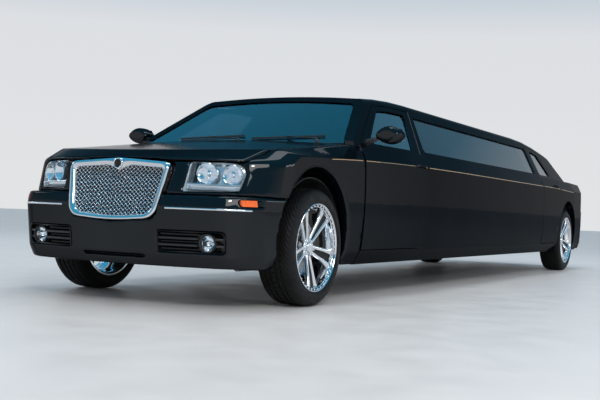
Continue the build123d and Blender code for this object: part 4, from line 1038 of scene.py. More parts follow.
@dataclass
class Grille:
    """Bright grille: a rounded surround, a woven wire mesh and a plain boss, in metres."""

    face: float = 0.885
    lean: float = 0.21
    foot: float = 0.487
    across: float = 0.030
    down: float = 0.024
    wire: float = 0.0027
    wave: float = 0.0022
    recess: float = 0.024
    middle: Flat = (0.0, 0.66)
    runs: int = 26
    # Corners as width and height, and their roundings.
    outer: tuple[Flat, ...] = (
        (-0.366, 0.836), (-0.085, 0.856), (0.0, 0.860), (0.085, 0.856), (0.366, 0.836), (0.314, 0.512),
        (0.0, 0.489), (-0.314, 0.512))
    outer_r: tuple[float, ...] = (0.050, 0.05, 0.03, 0.05, 0.050, 0.080, 0.5, 0.080)
    inner: tuple[Flat, ...] = (
        (-0.324, 0.798), (-0.070, 0.814), (0.0, 0.780), (0.070, 0.814), (0.324, 0.798), (0.276, 0.540),
        (0.0, 0.519), (-0.276, 0.540))
    inner_r: tuple[float, ...] = (0.024, 0.06, 0.02, 0.06, 0.024, 0.058, 0.5, 0.058)
    boss_at: Flat = (0.0, 0.826)
    boss_r: float = 0.034

    def x(self, z: float, behind: float = 0.0) -> float:
        """Returns X of the leaning face at a height, a little behind it."""
        return FRONT_AXLE_X + self.face - (z - self.foot) * self.lean - behind

    def build(self) -> None:
        """Makes the surround, the mesh, the boss and a near-black sheet behind them, painted shade inside the
        grille.
        """
        for name, shape, finish, smooth, slot, nodes in (
                ("grille_surround", self.surround(), CHROME, 50.0, "bright_chrome", ("grille",)),
                ("grille_mesh", self.mesh(), MESH_WIRE, 60.0, "bright_chrome", ()),
                ("grille_boss", self.boss(), CHROME, 40.0, "bright_chrome", ()),
                ("grille_boss_face", self.boss_face(), GLOSS_TRIM, 40.0, "bright_chrome", ()),
                # near-black sheet: painted shade behind the mesh
                ("grille_painted_shade", self.shade_sheet(), PAINTED_SHADE_WELL, 40.0, "black_plastic", ())):
            place(shape.object(name, finish, smooth), "body", slot, *nodes)

    def surround(self) -> Shape:
        """Returns the rounded frame."""
        outer = rounded(self.outer, self.outer_r, 10, 5)
        inner = rounded(self.inner, self.inner_r, 10, 5)
        # Share of the way from the outer to the inner line, and distance behind the face.
        section = ((0.0, 0.058), (0.0, 0.014), (0.05, 0.006), (0.14, 0.0015), (0.30, 0.0), (0.62, 0.002),
                   (0.84, 0.008), (0.96, 0.018), (1.0, 0.030), (1.0, 0.058))
        rows = []
        for (oy, oz), (iy, iz) in zip(outer, inner):
            row = []
            for t, behind in section:
                y, z = oy + (iy - oy) * t, oz + (iz - oz) * t
                row.append((self.x(z, behind), y, z))
            rows.append(row)
        return Shape().grid(rows, round_rows=True, round_columns=True)

    def mesh(self) -> Shape:
        """Returns the woven wires, cut to the frame's opening."""
        line = scaled(rounded(self.inner, self.inner_r, 8, 4), self.middle, 1.02)
        slope = math.atan2(self.down, self.across)
        pitch = self.across * math.sin(slope)
        step = self.across / (2 * math.cos(slope))
        shape = Shape()
        for family, lean in ((0, slope), (1, -slope)):
            along = Vector((math.cos(lean), math.sin(lean)))
            normal = Vector((-along.y, along.x))
            for k in range(-self.runs, self.runs + 1):
                start = Vector(self.middle) + normal * (k * pitch)
                for a, b in self.cut(start, along, line):
                    path = []
                    for s in spaced(a, b, max(3, int((b - a) / (step / 3.0)) + 1)):
                        lift = self.wave * math.cos(math.pi * s / step + math.pi * (k + family))
                        y, z = start + along * s
                        path.append((self.x(z, self.recess + lift), y, z))
                    shape.tube(path, self.wire, 6, flat=0.8)
        return shape

    @staticmethod
    def cut(start: Vector, along: Vector, line: Sequence[Vector], shortest: float = 0.012) -> list[Flat]:
        """Cuts a straight line to the inside of a closed outline.

        Args:
            start: a point on the line.
            along: its direction.
            line: the outline.
            shortest: the shortest piece that is kept.

        Returns:
            The (from, to) distances that lie inside.
        """
        hits = []
        for i, p in enumerate(line):
            a, b = p - start, line[(i + 1) % len(line)] - start
            da, db = along.x * a.y - along.y * a.x, along.x * b.y - along.y * b.x
            if (da < 0.0) != (db < 0.0):
                t = da / (da - db)
                hits.append((a + (b - a) * t).dot(along))
        hits.sort()
        return [(a, b) for a, b in zip(hits[::2], hits[1::2]) if b - a > shortest]

    def boss(self) -> Shape:
        """Returns the raised ring in the top bar's middle."""
        y, z = self.boss_at
        r = self.boss_r
        ring = [(r, -0.020), (r, 0.0015), (r - 0.002, 0.0045), (r - 0.006, 0.0060), (r - 0.009, 0.0045),
                (r - 0.0095, 0.0010), (r - 0.0095, -0.010)]
        return Shape().lathe(ring, (self.x(z), y, z), "x", 48)

    def boss_face(self) -> Shape:
        """Returns the plain domed face inside the ring."""
        y, z = self.boss_at
        r = self.boss_r - 0.0093
        dome = [(r, 0.0005), (r * 0.7, 0.0022), (r * 0.35, 0.0032), (0.0002, 0.0036)]
        return Shape().lathe(dome, (self.x(z), y, z), "x", 40)

    def shade_sheet(self) -> Shape:
        """Returns a near-black sheet between the mesh and the radiator, painted shade in the grille's recess.
        """
        line = rounded(self.inner, self.inner_r, 6, 3)
        # Size as a share of the opening, and distance behind the face.
        steps = ((1.03, 0.045), (1.03, 0.055), (0.99, 0.075), (0.95, 0.095), (0.02, 0.096))
        return Shape().grid([[(self.x(z, behind), y, z) for y, z in scaled(line, self.middle, share)]
                             for share, behind in steps], round_rows=True)


@dataclass
class CornerBacking:
    """Backing behind each fender's front corner, where the wall is cut through and paint has to close."""

    # Where the rays cross, as a station in millimetres and a width in metres, and their angles in degrees.
    centre: Flat = (300.0, 0.700)
    far: float = 0.7
    turns: Flat = (14.0, 84.0)
    heights: Flat = (0.790, 0.905)
    steps: tuple[int, int] = (36, 24)
    deep: float = 0.010
    below: float = 0.0008
    thick: float = 0.014

    def shape(self) -> Shape:
        """Returns the backing of the left fender, as one block a cell."""
        skin = Skin("front_fenders")
        x, y = st(self.centre[0]), self.centre[1]
        angles = [math.radians(a) for a in spaced(*self.turns, self.steps[0])]
        levels = spaced(*self.heights, self.steps[1])
        rows = []
        for z in levels:
            middle = Vector((x, y, z))
            outwards = [Vector((math.cos(a), math.sin(a), 0.0)) for a in angles]
            found = [skin.hit(middle + out * self.far, -out) for out in outwards]
            rows.append([0.0 if hit is None else (hit[0] - middle).length for hit in found])
        closed = [[self.reach(rows, i, j) for j in range(len(angles))] for i in range(len(levels))]
        open_cells = {(i, j) for i, row in enumerate(rows) for j, r in enumerate(row)
                      if closed[i][j] - r > 1e-6}
        shape = Shape()
        for i in range(len(levels) - 1):
            for j in range(len(angles) - 1):
                if not any((i + m, j + n) in open_cells for m in (-1, 0, 1, 2) for n in (-2, -1, 0, 1, 2, 3)):
                    continue
                near, far = [], []
                for m, n in ((0, 0), (0, 1), (1, 1), (1, 0)):
                    a, r = angles[j + n], closed[i + m][j + n] - self.below
                    for points, radius in ((near, r - self.thick), (far, r)):
                        points.append((x + radius * math.cos(a), y + radius * math.sin(a), levels[i + m]))
                shape.brick(near + far)
        LOG.info("fender corner: %d open points", len(open_cells))
        return shape

    def reach(self, rows: Sequence[Sequence[float]], i: int, j: int) -> float:
        """Returns how far out the closed wall stands.

        Args:
            rows: what the rays found, level by level.
            i: the level.
            j: the turn.

        Returns:
            The ray's own reach, or one drawn across the opening.
        """
        share = i / (len(rows) - 1)

        def good(k: int) -> bool:
            """Tells whether a ray of this level met the outer wall."""
            return rows[i][k] > rows[0][k] * (1 - share) + rows[-1][k] * share - self.deep

        if good(j):
            return rows[i][j]
        low = next((k for k in range(j, -1, -1) if good(k)), None)
        high = next((k for k in range(j, len(rows[i])) if good(k)), None)
        if low is None or high is None:
            return rows[i][j]
        t = (j - low) / (high - low)
        return rows[i][low] * (1 - t) + rows[i][high] * t


@dataclass
class SoftPanel:
    """A painted CAD panel with its edges and corners rounded off.

    Args:
        node: the CAD node that it stands for.
        body: the body that carries it.
        name: the piece's name.
        cell: size of the even mesh laid over it.
        rounds: how often the mesh is evened out.
        backing: what closes its corners, or None.
    """

    node: str
    body: str
    name: str
    cell: float = 0.008
    rounds: int = 14
    backing: Optional[CornerBacking] = None

    def build(self) -> None:
        """Makes the panel."""
        source = frame["nodes"][self.node].data
        shape = Shape()
        shape.verts = [v.co.copy() for v in source.vertices]
        shape.faces = [tuple(p.vertices) for p in source.polygons]
        if self.backing is not None:
            shape.join(self.backing.shape().paired())
        made = linked(self.name, shape.mesh(self.name))
        even = made.modifiers.new("even", "REMESH")
        even.mode = "VOXEL"
        even.voxel_size = self.cell
        soft = made.modifiers.new("soft", "SMOOTH")
        soft.factor = 0.5
        soft.iterations = self.rounds
        settled = bpy.data.meshes.new_from_object(made.evaluated_get(bpy.context.evaluated_depsgraph_get()))
        made.modifiers.clear()
        made.data = settled
        settled.materials.clear()
        settled.materials.append(PAINT.material())
        settled.polygons.foreach_set("use_smooth", [True] * len(settled.polygons))
        place(made, self.body, "paint", self.node)


@dataclass
class SideMarkers:
    """Amber markers round the bumper's corners, their rear ends blanked in body colour."""

    lit: float = 0.66
    taller: float = 1.26
    proud: float = 0.0012

    def build(self) -> None:
        """Makes the lenses and the blanks."""
        low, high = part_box("side_markers")
        cut = high[0] - (high[0] - low[0]) * self.lit
        middle = (low[2] + high[2]) / 2.0
        for name, finish, slot, front in (("marker_lenses", AMBER_LENS, "amber_lens", True),
                                          ("marker_blanks", PAINT, "paint", False)):
            source = frame["nodes"]["side_markers"].data
            work = bmesh.new()
            work.from_mesh(source)
            bmesh.ops.bisect_plane(work, geom=work.verts[:] + work.edges[:] + work.faces[:], dist=1e-6,
                                   plane_co=(cut, 0.0, 0.0), plane_no=(1.0, 0.0, 0.0), clear_inner=front,
                                   clear_outer=not front)
            bmesh.ops.holes_fill(work, edges=[e for e in work.edges if e.is_boundary], sides=0)
            if front:
                for vertex in work.verts:
                    side = math.copysign(1.0, vertex.co.y)
                    vertex.co.z = middle + (vertex.co.z - middle) * self.taller
                    vertex.co += Vector((0.7, 0.7 * side, 0.0)) * self.proud
            mesh = bpy.data.meshes.new(name)
            work.to_mesh(mesh)
            work.free()
            mesh.materials.clear()
            mesh.materials.append(finish.material())
            shade(mesh, 30.0)
            place(linked(name, mesh), "body", slot, *(("side_markers",) if front else ()))


@dataclass
class WheelHouses:
    """Ribbed liners over the wheels, open towards the strut."""

    radius: float = 0.428
    thick: float = 0.003
    inner_y: float = 0.520
    outer_y: float = 0.866
    # Angles over the wheel, in degrees from straight ahead.
    front_turns: Flat = (12.0, 172.0)
    rear_turns: Flat = (42.0, 172.0)
    ribs: int = 9
    rib_lift: float = 0.004

    def build(self) -> None:
        """Makes the front and the rear pair."""
        for name, axle, turns in (("wheel_house_liners", FRONT_AXLE_X, self.front_turns),
                                  ("rear_wheel_house_liners", REAR_AXLE_X, self.rear_turns)):
            place(self.liner(axle, turns).paired().object(name, MOULDED), "body", "black_plastic")

    def liner(self, axle: float, turns: Flat) -> Shape:
        """Makes the left liner of one axle.

        Args:
            axle: X of the axle.
            turns: first and last angle over the wheel, in degrees from straight ahead.

        Returns:
            The liner.
        """
        angles = [math.radians(a) for a in spaced(*turns, self.ribs * 8 + 1)]
        rows = []
        for k, a in enumerate(angles):
            raised = self.radius + (self.rib_lift if k % 8 in (3, 4, 5) else 0.0)
            row = [(self.inner_y, self.radius), (self.inner_y + 0.02, raised), (self.outer_y - 0.03, raised),
                   (self.outer_y, self.radius)]
            section = row + [(y, r + self.thick) for y, r in reversed(row)]
            rows.append([(axle + r * math.cos(a), y, AXLE_Z + r * math.sin(a)) for y, r in section])
        return Shape().loft(rows)


@dataclass
class Headlamps:
    """Two headlamps: a clear lens over a bright tub with two bowls and a fluted lower reflector."""

    # Corners as width and height, and their roundings.
    outline: tuple[Flat, ...] = (
        (0.437, 0.671), (0.455, 0.845), (0.694, 0.842), (0.735, 0.826), (0.754, 0.785), (0.733, 0.680))
    radii: tuple[float, ...] = (0.020, 0.020, 0.030, 0.020, 0.030, 0.020)
    rings: tuple[float, ...] = (1.0, 0.985, 0.955, 0.88, 0.74, 0.55, 0.34, 0.14, 0.01)
    bulge: float = 0.005
    wall: float = 0.003
    # Width, height and radius.
    bowls: tuple[Point, ...] = ((0.551, 0.778, 0.056), (0.683, 0.774, 0.053))
    bowl_depth: float = 0.042
    bowl_back: float = 0.012
    turn: float = 21.5
    flutes: int = 22
    ledge_z: float = 0.712

    def __post_init__(self) -> None:
        """Finds the lens's surface on the CAD node."""
        self.skin = Skin("headlamps")
        self.middle = sum((Vector(p) for p in self.outline), Vector((0.0, 0.0))) / len(self.outline)
        self.line = rounded(self.outline, self.radii, 8, 6)

    def x(self, y: float, z: float) -> float:
        """Finds the lens's outer surface, followed outwards by its slope where a ray misses it.

        Args:
            y: width.
            z: height.

        Returns:
            X there.
        """
        slope_y, slope_z = 0.395, 0.24
        for pull in (0.0, 0.02, 0.05, 0.1):
            at = Vector((y, z)).lerp(self.middle, pull)
            found = self.skin.front(at.x, at.y)
            if found is not None:
                return found[0].x - slope_y * (y - at.x) - slope_z * (z - at.y)
        return st(765.0) - slope_y * (y - 0.437) - slope_z * (z - 0.652)

    def ring(self, scale: float, behind: float) -> list[Point]:
        """Returns the outline shrunk to a share of its size, some way behind the lens."""
        lift = self.bulge * (1.0 - scale ** 4)
        return [(self.x(y, z) - behind + lift, y, z) for y, z in scaled(self.line, self.middle, scale)]

    def build(self) -> None:
        """Makes both lamps."""
        for name, shape, finish, nodes in (("headlamp_lenses", self.lens(), CLEAR_LENS, ("headlamps",)),
                                           ("headlamp_tubs", self.tub(), LAMP_WELL, ()),
                                           ("headlamp_bowls", self.reflectors(), REFLECTOR, ()),
                                           ("headlamp_bezels", self.bezels(), CHROME, ()),
                                           ("headlamp_shades", self.shades(), GLOSS_TRIM, ())):
            place(shape.paired().object(name, finish, 40.0), "body", "clear_lens", *nodes)

    def lens(self) -> Shape:
        """Returns the left lens as a thin closed shell."""
        under, rim = 0.001, 0.010
        front = [self.ring(scale, under) for scale in reversed(self.rings)]
        back = [self.ring(scale, under + self.wall) for scale in self.rings[1:]]
        return Shape().grid([*front, self.ring(1.0, rim), self.ring(0.985, rim), *back], round_rows=True)

    def tub(self) -> Shape:
        """Returns the left lamp's housing."""
        shape = Shape()
        # Size as a share of the outline, and distance behind the lens.
        wall = ((1.0, 0.004), (0.995, 0.008), (0.985, 0.011), (0.97, 0.020), (0.95, 0.050), (0.90, 0.074),
                (0.6, 0.078), (0.01, 0.078))
        shape.grid([self.ring(scale, behind) for scale, behind in wall], round_rows=True)
        # Distance behind the lens, and height above the ledge's middle.
        ledge = ((0.012, 0.002), (0.014, 0.006), (0.040, 0.007), (0.070, 0.004), (0.070, -0.003),
                 (0.014, -0.003))
        shape.grid([[(self.x(y, self.ledge_z) - behind, y, self.ledge_z + above) for behind, above in ledge]
                    for y in spaced(0.450, 0.738, 30)], round_rows=True)
        return shape

    def on_bowls(self, profile: Sequence[Flat]) -> Shape:
        """Turns a closed profile about each bowl's axis.

        Args:
            profile: distance from the bowl's rim outwards, and distance ahead of it.

        Returns:
            The shape on both bowls.
        """
        shape = Shape()
        for y, z, r in self.bowls:
            ring = Shape().lathe([(r + out, ahead) for out, ahead in profile], ORIGIN, "x", 56, closed=True)
            shape.join(ring.move(self.seat(y, z)))
        return shape

    def fluted(self, ends: Flat, points: int, dip: float, section: Sequence[Flat]) -> Shape:
        """Makes a fluted reflector along the lamp.

        Args:
            ends: its inner and its outer end.
            points: points in a flute.
            dip: depth of the flutes.
            section: height, and distance behind the lens.

        Returns:
            The reflector.
        """
        rows = []
        for k, y in enumerate(spaced(*ends, self.flutes * points + 1)):
            sunk = dip * abs(math.sin(math.pi * k / points))
            rows.append([(self.x(y, z) - behind - sunk, y, z) for z, behind in section])
        return Shape().grid(rows)

    def reflectors(self) -> Shape:
        """Returns the left lamp's two bowls, bulbs and fluted strip."""
        shape = Shape()
        for y, z, r in self.bowls:
            dish = [(r * t, -self.bowl_depth * (1.0 - t * t))
                    for t in (1.0, 0.92, 0.82, 0.7, 0.56, 0.42, 0.28, 0.2)]
            bulb = [(0.0095, -self.bowl_depth), (0.0095, -0.020), (0.0080, -0.014), (0.0045, -0.011),
                    (0.0002, -0.010)]
            bowl = Shape().lathe(dish, ORIGIN, "x", 56).lathe(bulb, ORIGIN, "x", 20)
            shape.join(bowl.move(self.seat(y, z)))
        shape.join(self.fluted((0.452, 0.728), 4, 0.0035,
                               ((0.686, 0.018), (0.692, 0.034), (0.700, 0.042), (0.708, 0.040))))
        shape.join(self.fluted((0.466, 0.722), 2, 0.0018, ((0.822, 0.052), (0.829, 0.034), (0.834, 0.020))))
        return shape

    def bezels(self) -> Shape:
        """Returns the rings round the bowls."""
        return self.on_bowls(((0.0065, -0.010), (0.0060, 0.0020), (0.0035, 0.0045), (0.0005, 0.0030),
                              (-0.0005, -0.0010), (0.0005, -0.0090)))

    def shades(self) -> Shape:
        """Returns the dark collars inside the rings and the dark post beside the turn lamp."""
        shape = self.on_bowls(((-0.0008, -0.0050), (-0.0020, -0.0035), (-0.0055, -0.0105), (-0.0050, -0.0125),
                               (-0.0008, -0.0080)))
        foot_y, foot_z, top_z, lean = 0.4815, 0.724, 0.832, 0.05
        # Distance behind the lens, and distance across from the post's middle.
        post = ((0.016, -0.0030), (0.014, 0.0), (0.016, 0.0030), (0.050, 0.0035), (0.050, -0.0035))
        rows = []
        for z in spaced(foot_z, top_z, 9):
            y = foot_y + lean * (z - foot_z)
            rows.append([(self.x(y, z) - behind, y + across, z) for behind, across in post])
        shape.grid(rows, round_rows=True)
        return shape

    def seat(self, y: float, z: float) -> Matrix:
        """Returns a bowl's place, turned to face as the lens does."""
        middle = Matrix.Translation((self.x(y, z) - self.bowl_back, y, z))
        return middle @ Matrix.Rotation(math.radians(self.turn), 4, "Z")


@dataclass
class FogLamps:
    """Round lamps in the bumper's recesses, with slats and a frame."""

    middle: Point = (FRONT_AXLE_X + 0.734, 0.616, 0.381)
    lens_r: float = 0.044
    reach: float = 0.058
    # Widths and heights of the recess, from and to.
    recess: tuple[float, float, float, float] = (0.316, 0.716, 0.328, 0.444)

    def build(self) -> None:
        """Makes the lamps, their bezels and the slats beyond them."""
        for name, shape, finish, slot, nodes in (
                ("fog_lenses", self.lens(), CLEAR_LENS, "clear_lens", ("fog_lamps",)),
                ("fog_bowls", self.bowl(), REFLECTOR, "clear_lens", ()),
                ("fog_bezels", self.bezel(), SATIN_TRIM, "black_plastic", ()),
                ("bumper_slats", self.slats(), SATIN_TRIM, "black_plastic", ()),
                ("bumper_frames", self.frame(), GLOSS_TRIM, "black_plastic", ())):
            place(shape.paired().object(name, finish, 40.0), "body", slot, *nodes)

    def lens(self) -> Shape:
        """Returns the domed lens."""
        r = self.lens_r
        dome = [(r, 0.018), (r, 0.030), (r * 0.92, 0.034), (r * 0.7, 0.0385), (r * 0.35, 0.0415),
                (0.0003, 0.0425), (0.0003, 0.0395), (r * 0.35, 0.0385), (r * 0.7, 0.0355), (r * 0.9, 0.031),
                (r * 0.94, 0.018)]
        return Shape().lathe(dome, self.middle, "x", 48)

    def bowl(self) -> Shape:
        """Returns the reflector behind the lens."""
        dish = [(self.lens_r * t, 0.020 - 0.040 * (1.0 - t * t)) for t in (1.0, 0.85, 0.7, 0.5, 0.3, 0.15)]
        bulb = [(0.007, -0.020), (0.007, 0.002), (0.0003, 0.006)]
        return Shape().lathe(dish + bulb, self.middle, "x", 40)

    def bezel(self) -> Shape:
        """Returns the ring round the lens and its housing."""
        return Shape().lathe([(0.0545, -0.085), (0.0545, 0.020), (0.0560, 0.034), (0.0535, 0.0385),
                              (0.0480, 0.0370), (0.0450, 0.0280), (0.0448, 0.0), (0.0448, -0.080)],
                             self.middle, "x", 48, closed=True)

    def slats(self) -> Shape:
        """Returns the slats on both sides of the lamp."""
        shape = Shape()
        skin = Skin("front_bumper")
        y0, y1, z0, z1 = self.recess
        _, lamp_y, lamp_z = self.middle
        # Distance behind the bumper's face, and height above the slat's middle.
        section = ((0.010, -0.0065), (0.007, -0.003), (0.007, 0.003), (0.010, 0.0065), (0.030, 0.0068),
                   (0.030, -0.0068))
        for k in (1, 2):
            z = z0 + (z1 - z0) * k / 3.0
            half = math.sqrt(self.reach ** 2 - (z - lamp_z) ** 2)
            for a, b in ((y0 - 0.002, lamp_y - half), (lamp_y + half, y1 + 0.002)):
                shape.loft([[(self.face(skin, y, z) - behind, y, z + above) for behind, above in section]
                            for y in spaced(a, b, 14)])
        return shape

    def face(self, skin: Skin, y: float, z: float) -> float:
        """Returns X of the bumper's face across the recess.

        Args:
            skin: the bumper's surface.
            y: width.
            z: height.

        Returns:
            X, read above and below the recess.
        """
        _, _, z0, z1 = self.recess
        clear = 0.008
        low, high = skin.front(y, z0 - clear)[0].x, skin.front(y, z1 + clear)[0].x
        return low + (high - low) * (z - z0) / (z1 - z0)

    def frame(self) -> Shape:
        """Returns the moulding round the recess."""
        skin = Skin("front_bumper")
        y0, y1, z0, z1 = self.recess
        line = rounded(((y0, z0), (y1, z0), (y1 + 0.004, z1), (y0, z1)), (0.014, 0.03, 0.03, 0.014), 6, 8)
        middle = Vector(((y0 + y1) / 2, (z0 + z1) / 2))
        # Distance outwards from the recess's edge, and distance behind the bumper's face.
        section = ((0.003, 0.004), (0.003, -0.0006), (0.000, -0.0018), (-0.004, -0.0010), (-0.0075, 0.004),
                   (-0.009, 0.034), (0.0, 0.036))
        rows = []
        for y, z in line:
            edge = Vector((y, z))
            wide = (edge - middle).normalized()
            rows.append([(self.face(skin, y, z) - behind, *(edge + wide * out)) for out, behind in section])
        return Shape().grid(rows, round_rows=True, round_columns=True)


@dataclass
class NoseTrim:
    """Bright strips along the bumper's lip."""

    z: float = 0.574
    inner_y: float = 0.378
    outer_y: float = 0.838
    half: float = 0.0055
    proud: float = 0.0030

    def build(self) -> None:
        """Makes the strips."""
        skin = Skin("front_bumper")
        points = [skin.front(y, self.z) for y in spaced(self.inner_y, self.outer_y, 44)]
        h, p = self.half, self.proud
        section = ((-h, -0.004), (-h, p * 0.3), (-h * 0.6, p), (h * 0.6, p), (h, p * 0.3), (h, -0.004))
        made = strip(points, section).paired().object("bumper_strips", CHROME, 50.0)
        place(made, "body", "bright_chrome")


@dataclass
class CoachLineAndHighlight:
    """Thin tan line along the side's shoulder crease, one length on each panel: a coach line that also paints
    in the crease's tan highlight.
    """

    # Station in millimetres and height in metres.
    table: tuple[Flat, ...] = (
        (-6900.0, 0.950), (-6720.0, 0.953), (-6013.0, 0.968), (-5400.0, 0.968), (-4560.0, 0.967),
        (-2650.0, 0.966), (-1538.0, 0.960), (-1079.0, 0.952), (-622.0, 0.940), (-300.0, 0.928),
        (-135.0, 0.919))
    # Name, CAD node, body, and first and last station.
    lengths: tuple[tuple[str, str, str, float, float], ...] = (
        ("fender", "front_fenders", "body", -650.0, -140.0),
        ("front_door", "front_door_{}", "door_front_{}", -1806.0, -657.0),
        ("side", "body_sides", "body", -5424.0, -1816.0),
        ("rear_door", "rear_door_{}", "door_rear_{}", -6190.0, -5434.0),
        ("quarter", "body_sides", "body", -6880.0, -6215.0))
    half: float = 0.0026
    proud: float = 0.0007
    wall_y: float = 0.86

    def build(self) -> None:
        """Makes each length."""
        for side_name, side in SIDES:
            for name, node, body, start, end in self.lengths:
                points = self.points(node.format(side_name), side, start, end)
                h, p = self.half, self.proud
                # The tan line is both a coach line and the crease's painted highlight.
                shape = strip(points, ((-h, -0.001), (-h, p), (h, p), (h, -0.001)))
                made = shape.object(f"line_{name}_{side_name}", COACH_LINE_AND_HIGHLIGHT, 50.0)
                place(made, body.format(side_name), "paint")

    def points(self, node: str, side: float, start: float, end: float) -> list[tuple[Vector, Vector]]:
        """Finds the line's seat on a panel.

        Args:
            node: the CAD node.
            side: LEFT or RIGHT.
            start: first station.
            end: last station.

        Returns:
            Points with normals.
        """
        skin = Skin(node)
        found = []
        for station in spaced(start, end, max(8, int((end - start) / 40.0))):
            hit = skin.side(st(station), between(self.table, station)[0], side)
            if hit is not None and abs(hit[0].y) > self.wall_y:
                found.append(hit)
        return found


@dataclass
class Mirrors:
    """Door mirrors: a rounded painted shell with a glass in its rear face."""

    # Station in millimetres, then widths and heights from and to.
    sections: tuple[tuple[float, float, float, float, float], ...] = (
        (-706.0, 0.985, 1.110, 1.085, 1.160), (-712.0, 0.965, 1.132, 1.070, 1.178),
        (-735.0, 0.955, 1.146, 1.063, 1.188), (-775.0, 0.953, 1.149, 1.061, 1.189),
        (-815.0, 0.954, 1.149, 1.062, 1.188), (-819.0, 0.958, 1.145, 1.066, 1.184),
        (-816.0, 0.964, 1.139, 1.072, 1.178), (-806.0, 0.966, 1.137, 1.074, 1.176))
    glass_x: float = FRONT_AXLE_X - 0.808
    glass_middle: Flat = (1.052, 1.125)
    # Width, height, half length and half height.
    stalk: tuple[tuple[float, float, float, float], ...] = (
        (0.872, 1.070, 0.040, 0.026), (0.900, 1.078, 0.034, 0.020), (0.940, 1.092, 0.028, 0.016),
        (0.975, 1.102, 0.028, 0.018))
    stalk_x: float = FRONT_AXLE_X - 0.748

    def build(self) -> None:
        """Makes both mirrors."""
        for side_name, side in SIDES:
            for name, shape, finish, smooth, levels, nodes in (
                    ("mirror_shell_", self.shell(), PAINT, 60.0, 2, ("mirror_" + side_name,)),
                    ("mirror_glass_", self.glass(), MIRROR_GLASS, 40.0, 0, ()),
                    ("mirror_foot_", self.foot(), SATIN_TRIM, 60.0, 1, ())):
                made = shape.move(side_turn(side)).object(name + side_name, finish, smooth, subdivide=levels)
                place(made, "door_front_" + side_name, "paint", *nodes)

    def shell(self) -> Shape:
        """Returns the shell as a cage for subdivision."""
        shape = Shape()
        m = 0.35
        corners = ((0, m), (0, 1 - m), (m, 1), (1 - m, 1), (1, 1 - m), (1, m), (1 - m, 0), (m, 0))
        shape.loft([[(st(station), y0 + (y1 - y0) * u, z0 + (z1 - z0) * v) for u, v in corners]
                    for station, y0, y1, z0, z1 in self.sections])
        return shape

    def glass(self) -> Shape:
        """Returns the mirror glass."""
        shape = Shape()
        line = rounded(((0.970, 1.078), (1.133, 1.078), (1.133, 1.172), (0.970, 1.172)),
                       (0.03, 0.035, 0.035, 0.03), 6, 4)
        # Size as a share of the outline, and distance behind its edge.
        domes = ((1.0, 0.0), (1.0, 0.0030), (0.96, 0.0035), (0.5, 0.0039), (0.02, 0.0040))
        shape.grid([[(self.glass_x - behind, y, z) for y, z in scaled(line, self.glass_middle, share)]
                    for share, behind in domes], round_rows=True)
        return shape

    def foot(self) -> Shape:
        """Returns the stalk between door and shell."""
        shape = Shape()
        m = 0.4
        corners = ((-1, -m), (-1, m), (-m, 1), (m, 1), (1, m), (1, -m), (m, -1), (-m, -1))
        shape.loft([[(self.stalk_x + half_x * u, y, z + half_z * v) for u, v in corners]
                    for y, z, half_x, half_z in self.stalk])
        return shape


@dataclass
class Handles:
    """Pull handles on the four doors."""

    # Door, front and rear station in millimetres, and height in metres.
    places: tuple[tuple[str, float, float, float], ...] = (
        ("front", -1570.0, -1770.0, 0.962), ("rear", -5950.0, -6130.0, 0.990))
    bar_r: float = 0.0095
    gap: float = 0.016
    sunk: float = 0.004

    def build(self) -> None:
        """Makes each handle."""
        for side_name, side in SIDES:
            for name, ahead, behind, z in self.places:
                skin = Skin(f"{name}_door_{side_name}")
                path = []
                for t in spaced(0.0, 1.0, 13):
                    found = skin.side(st(ahead + (behind - ahead) * t), z, side)
                    if found is None:
                        continue
                    lift = self.gap * min(1.0, 6.0 * t, 6.0 * (1.0 - t)) - self.sunk
                    path.append(found[0] + found[1] * lift)
                shape = Shape().tube(path, self.bar_r, 12, flat=1.25)
                made = shape.object(f"handle_{name}_{side_name}", PAINT, 50.0)
                place(made, f"door_{name}_{side_name}", "paint")


@dataclass
class Wipers:
    """Two wipers resting at the foot of the windscreen."""

    # Widths at the blades' two ends.
    blades: tuple[Flat, ...] = ((0.10, 0.64), (-0.52, 0.02))
    low: float = 1.078
    rise: float = 0.022
    pivot_x: float = FRONT_AXLE_X - 0.492
    pivot_z: float = 1.066
    gap: float = 0.008

    def build(self) -> None:
        """Makes both wipers."""
        skin = Skin("windscreen")
        shape = Shape()
        pivot = [(0.015, -0.012), (0.015, 0.006), (0.012, 0.011), (0.0003, 0.013)]
        for start, end in self.blades:
            spots = [(start + (end - start) * t, self.low + self.rise * t) for t in spaced(0.0, 1.0, 15)]
            seats = [skin.front(y, z) for y, z in spots]
            blade = [seat[0] + seat[1] * self.gap for seat in seats if seat is not None]
            shape.tube(blade, 0.0045, 6, flat=1.6)
            root = Vector((self.pivot_x, start + 0.62 * (end - start) + 0.20, self.pivot_z))
            middle = blade[len(blade) // 2]
            arm = [root, root + Vector((-0.012, -0.01, 0.016)),
                   root.lerp(middle, 0.5) + Vector((0.006, 0.0, 0.010)), middle + Vector((0.006, 0.0, 0.006))]
            shape.tube(arm, 0.0065, 8, flat=0.6)
            shape.lathe(pivot, tuple(root), "z", 16)
        place(shape.object("wipers", SATIN_TRIM, 45.0), "body", "black_plastic")


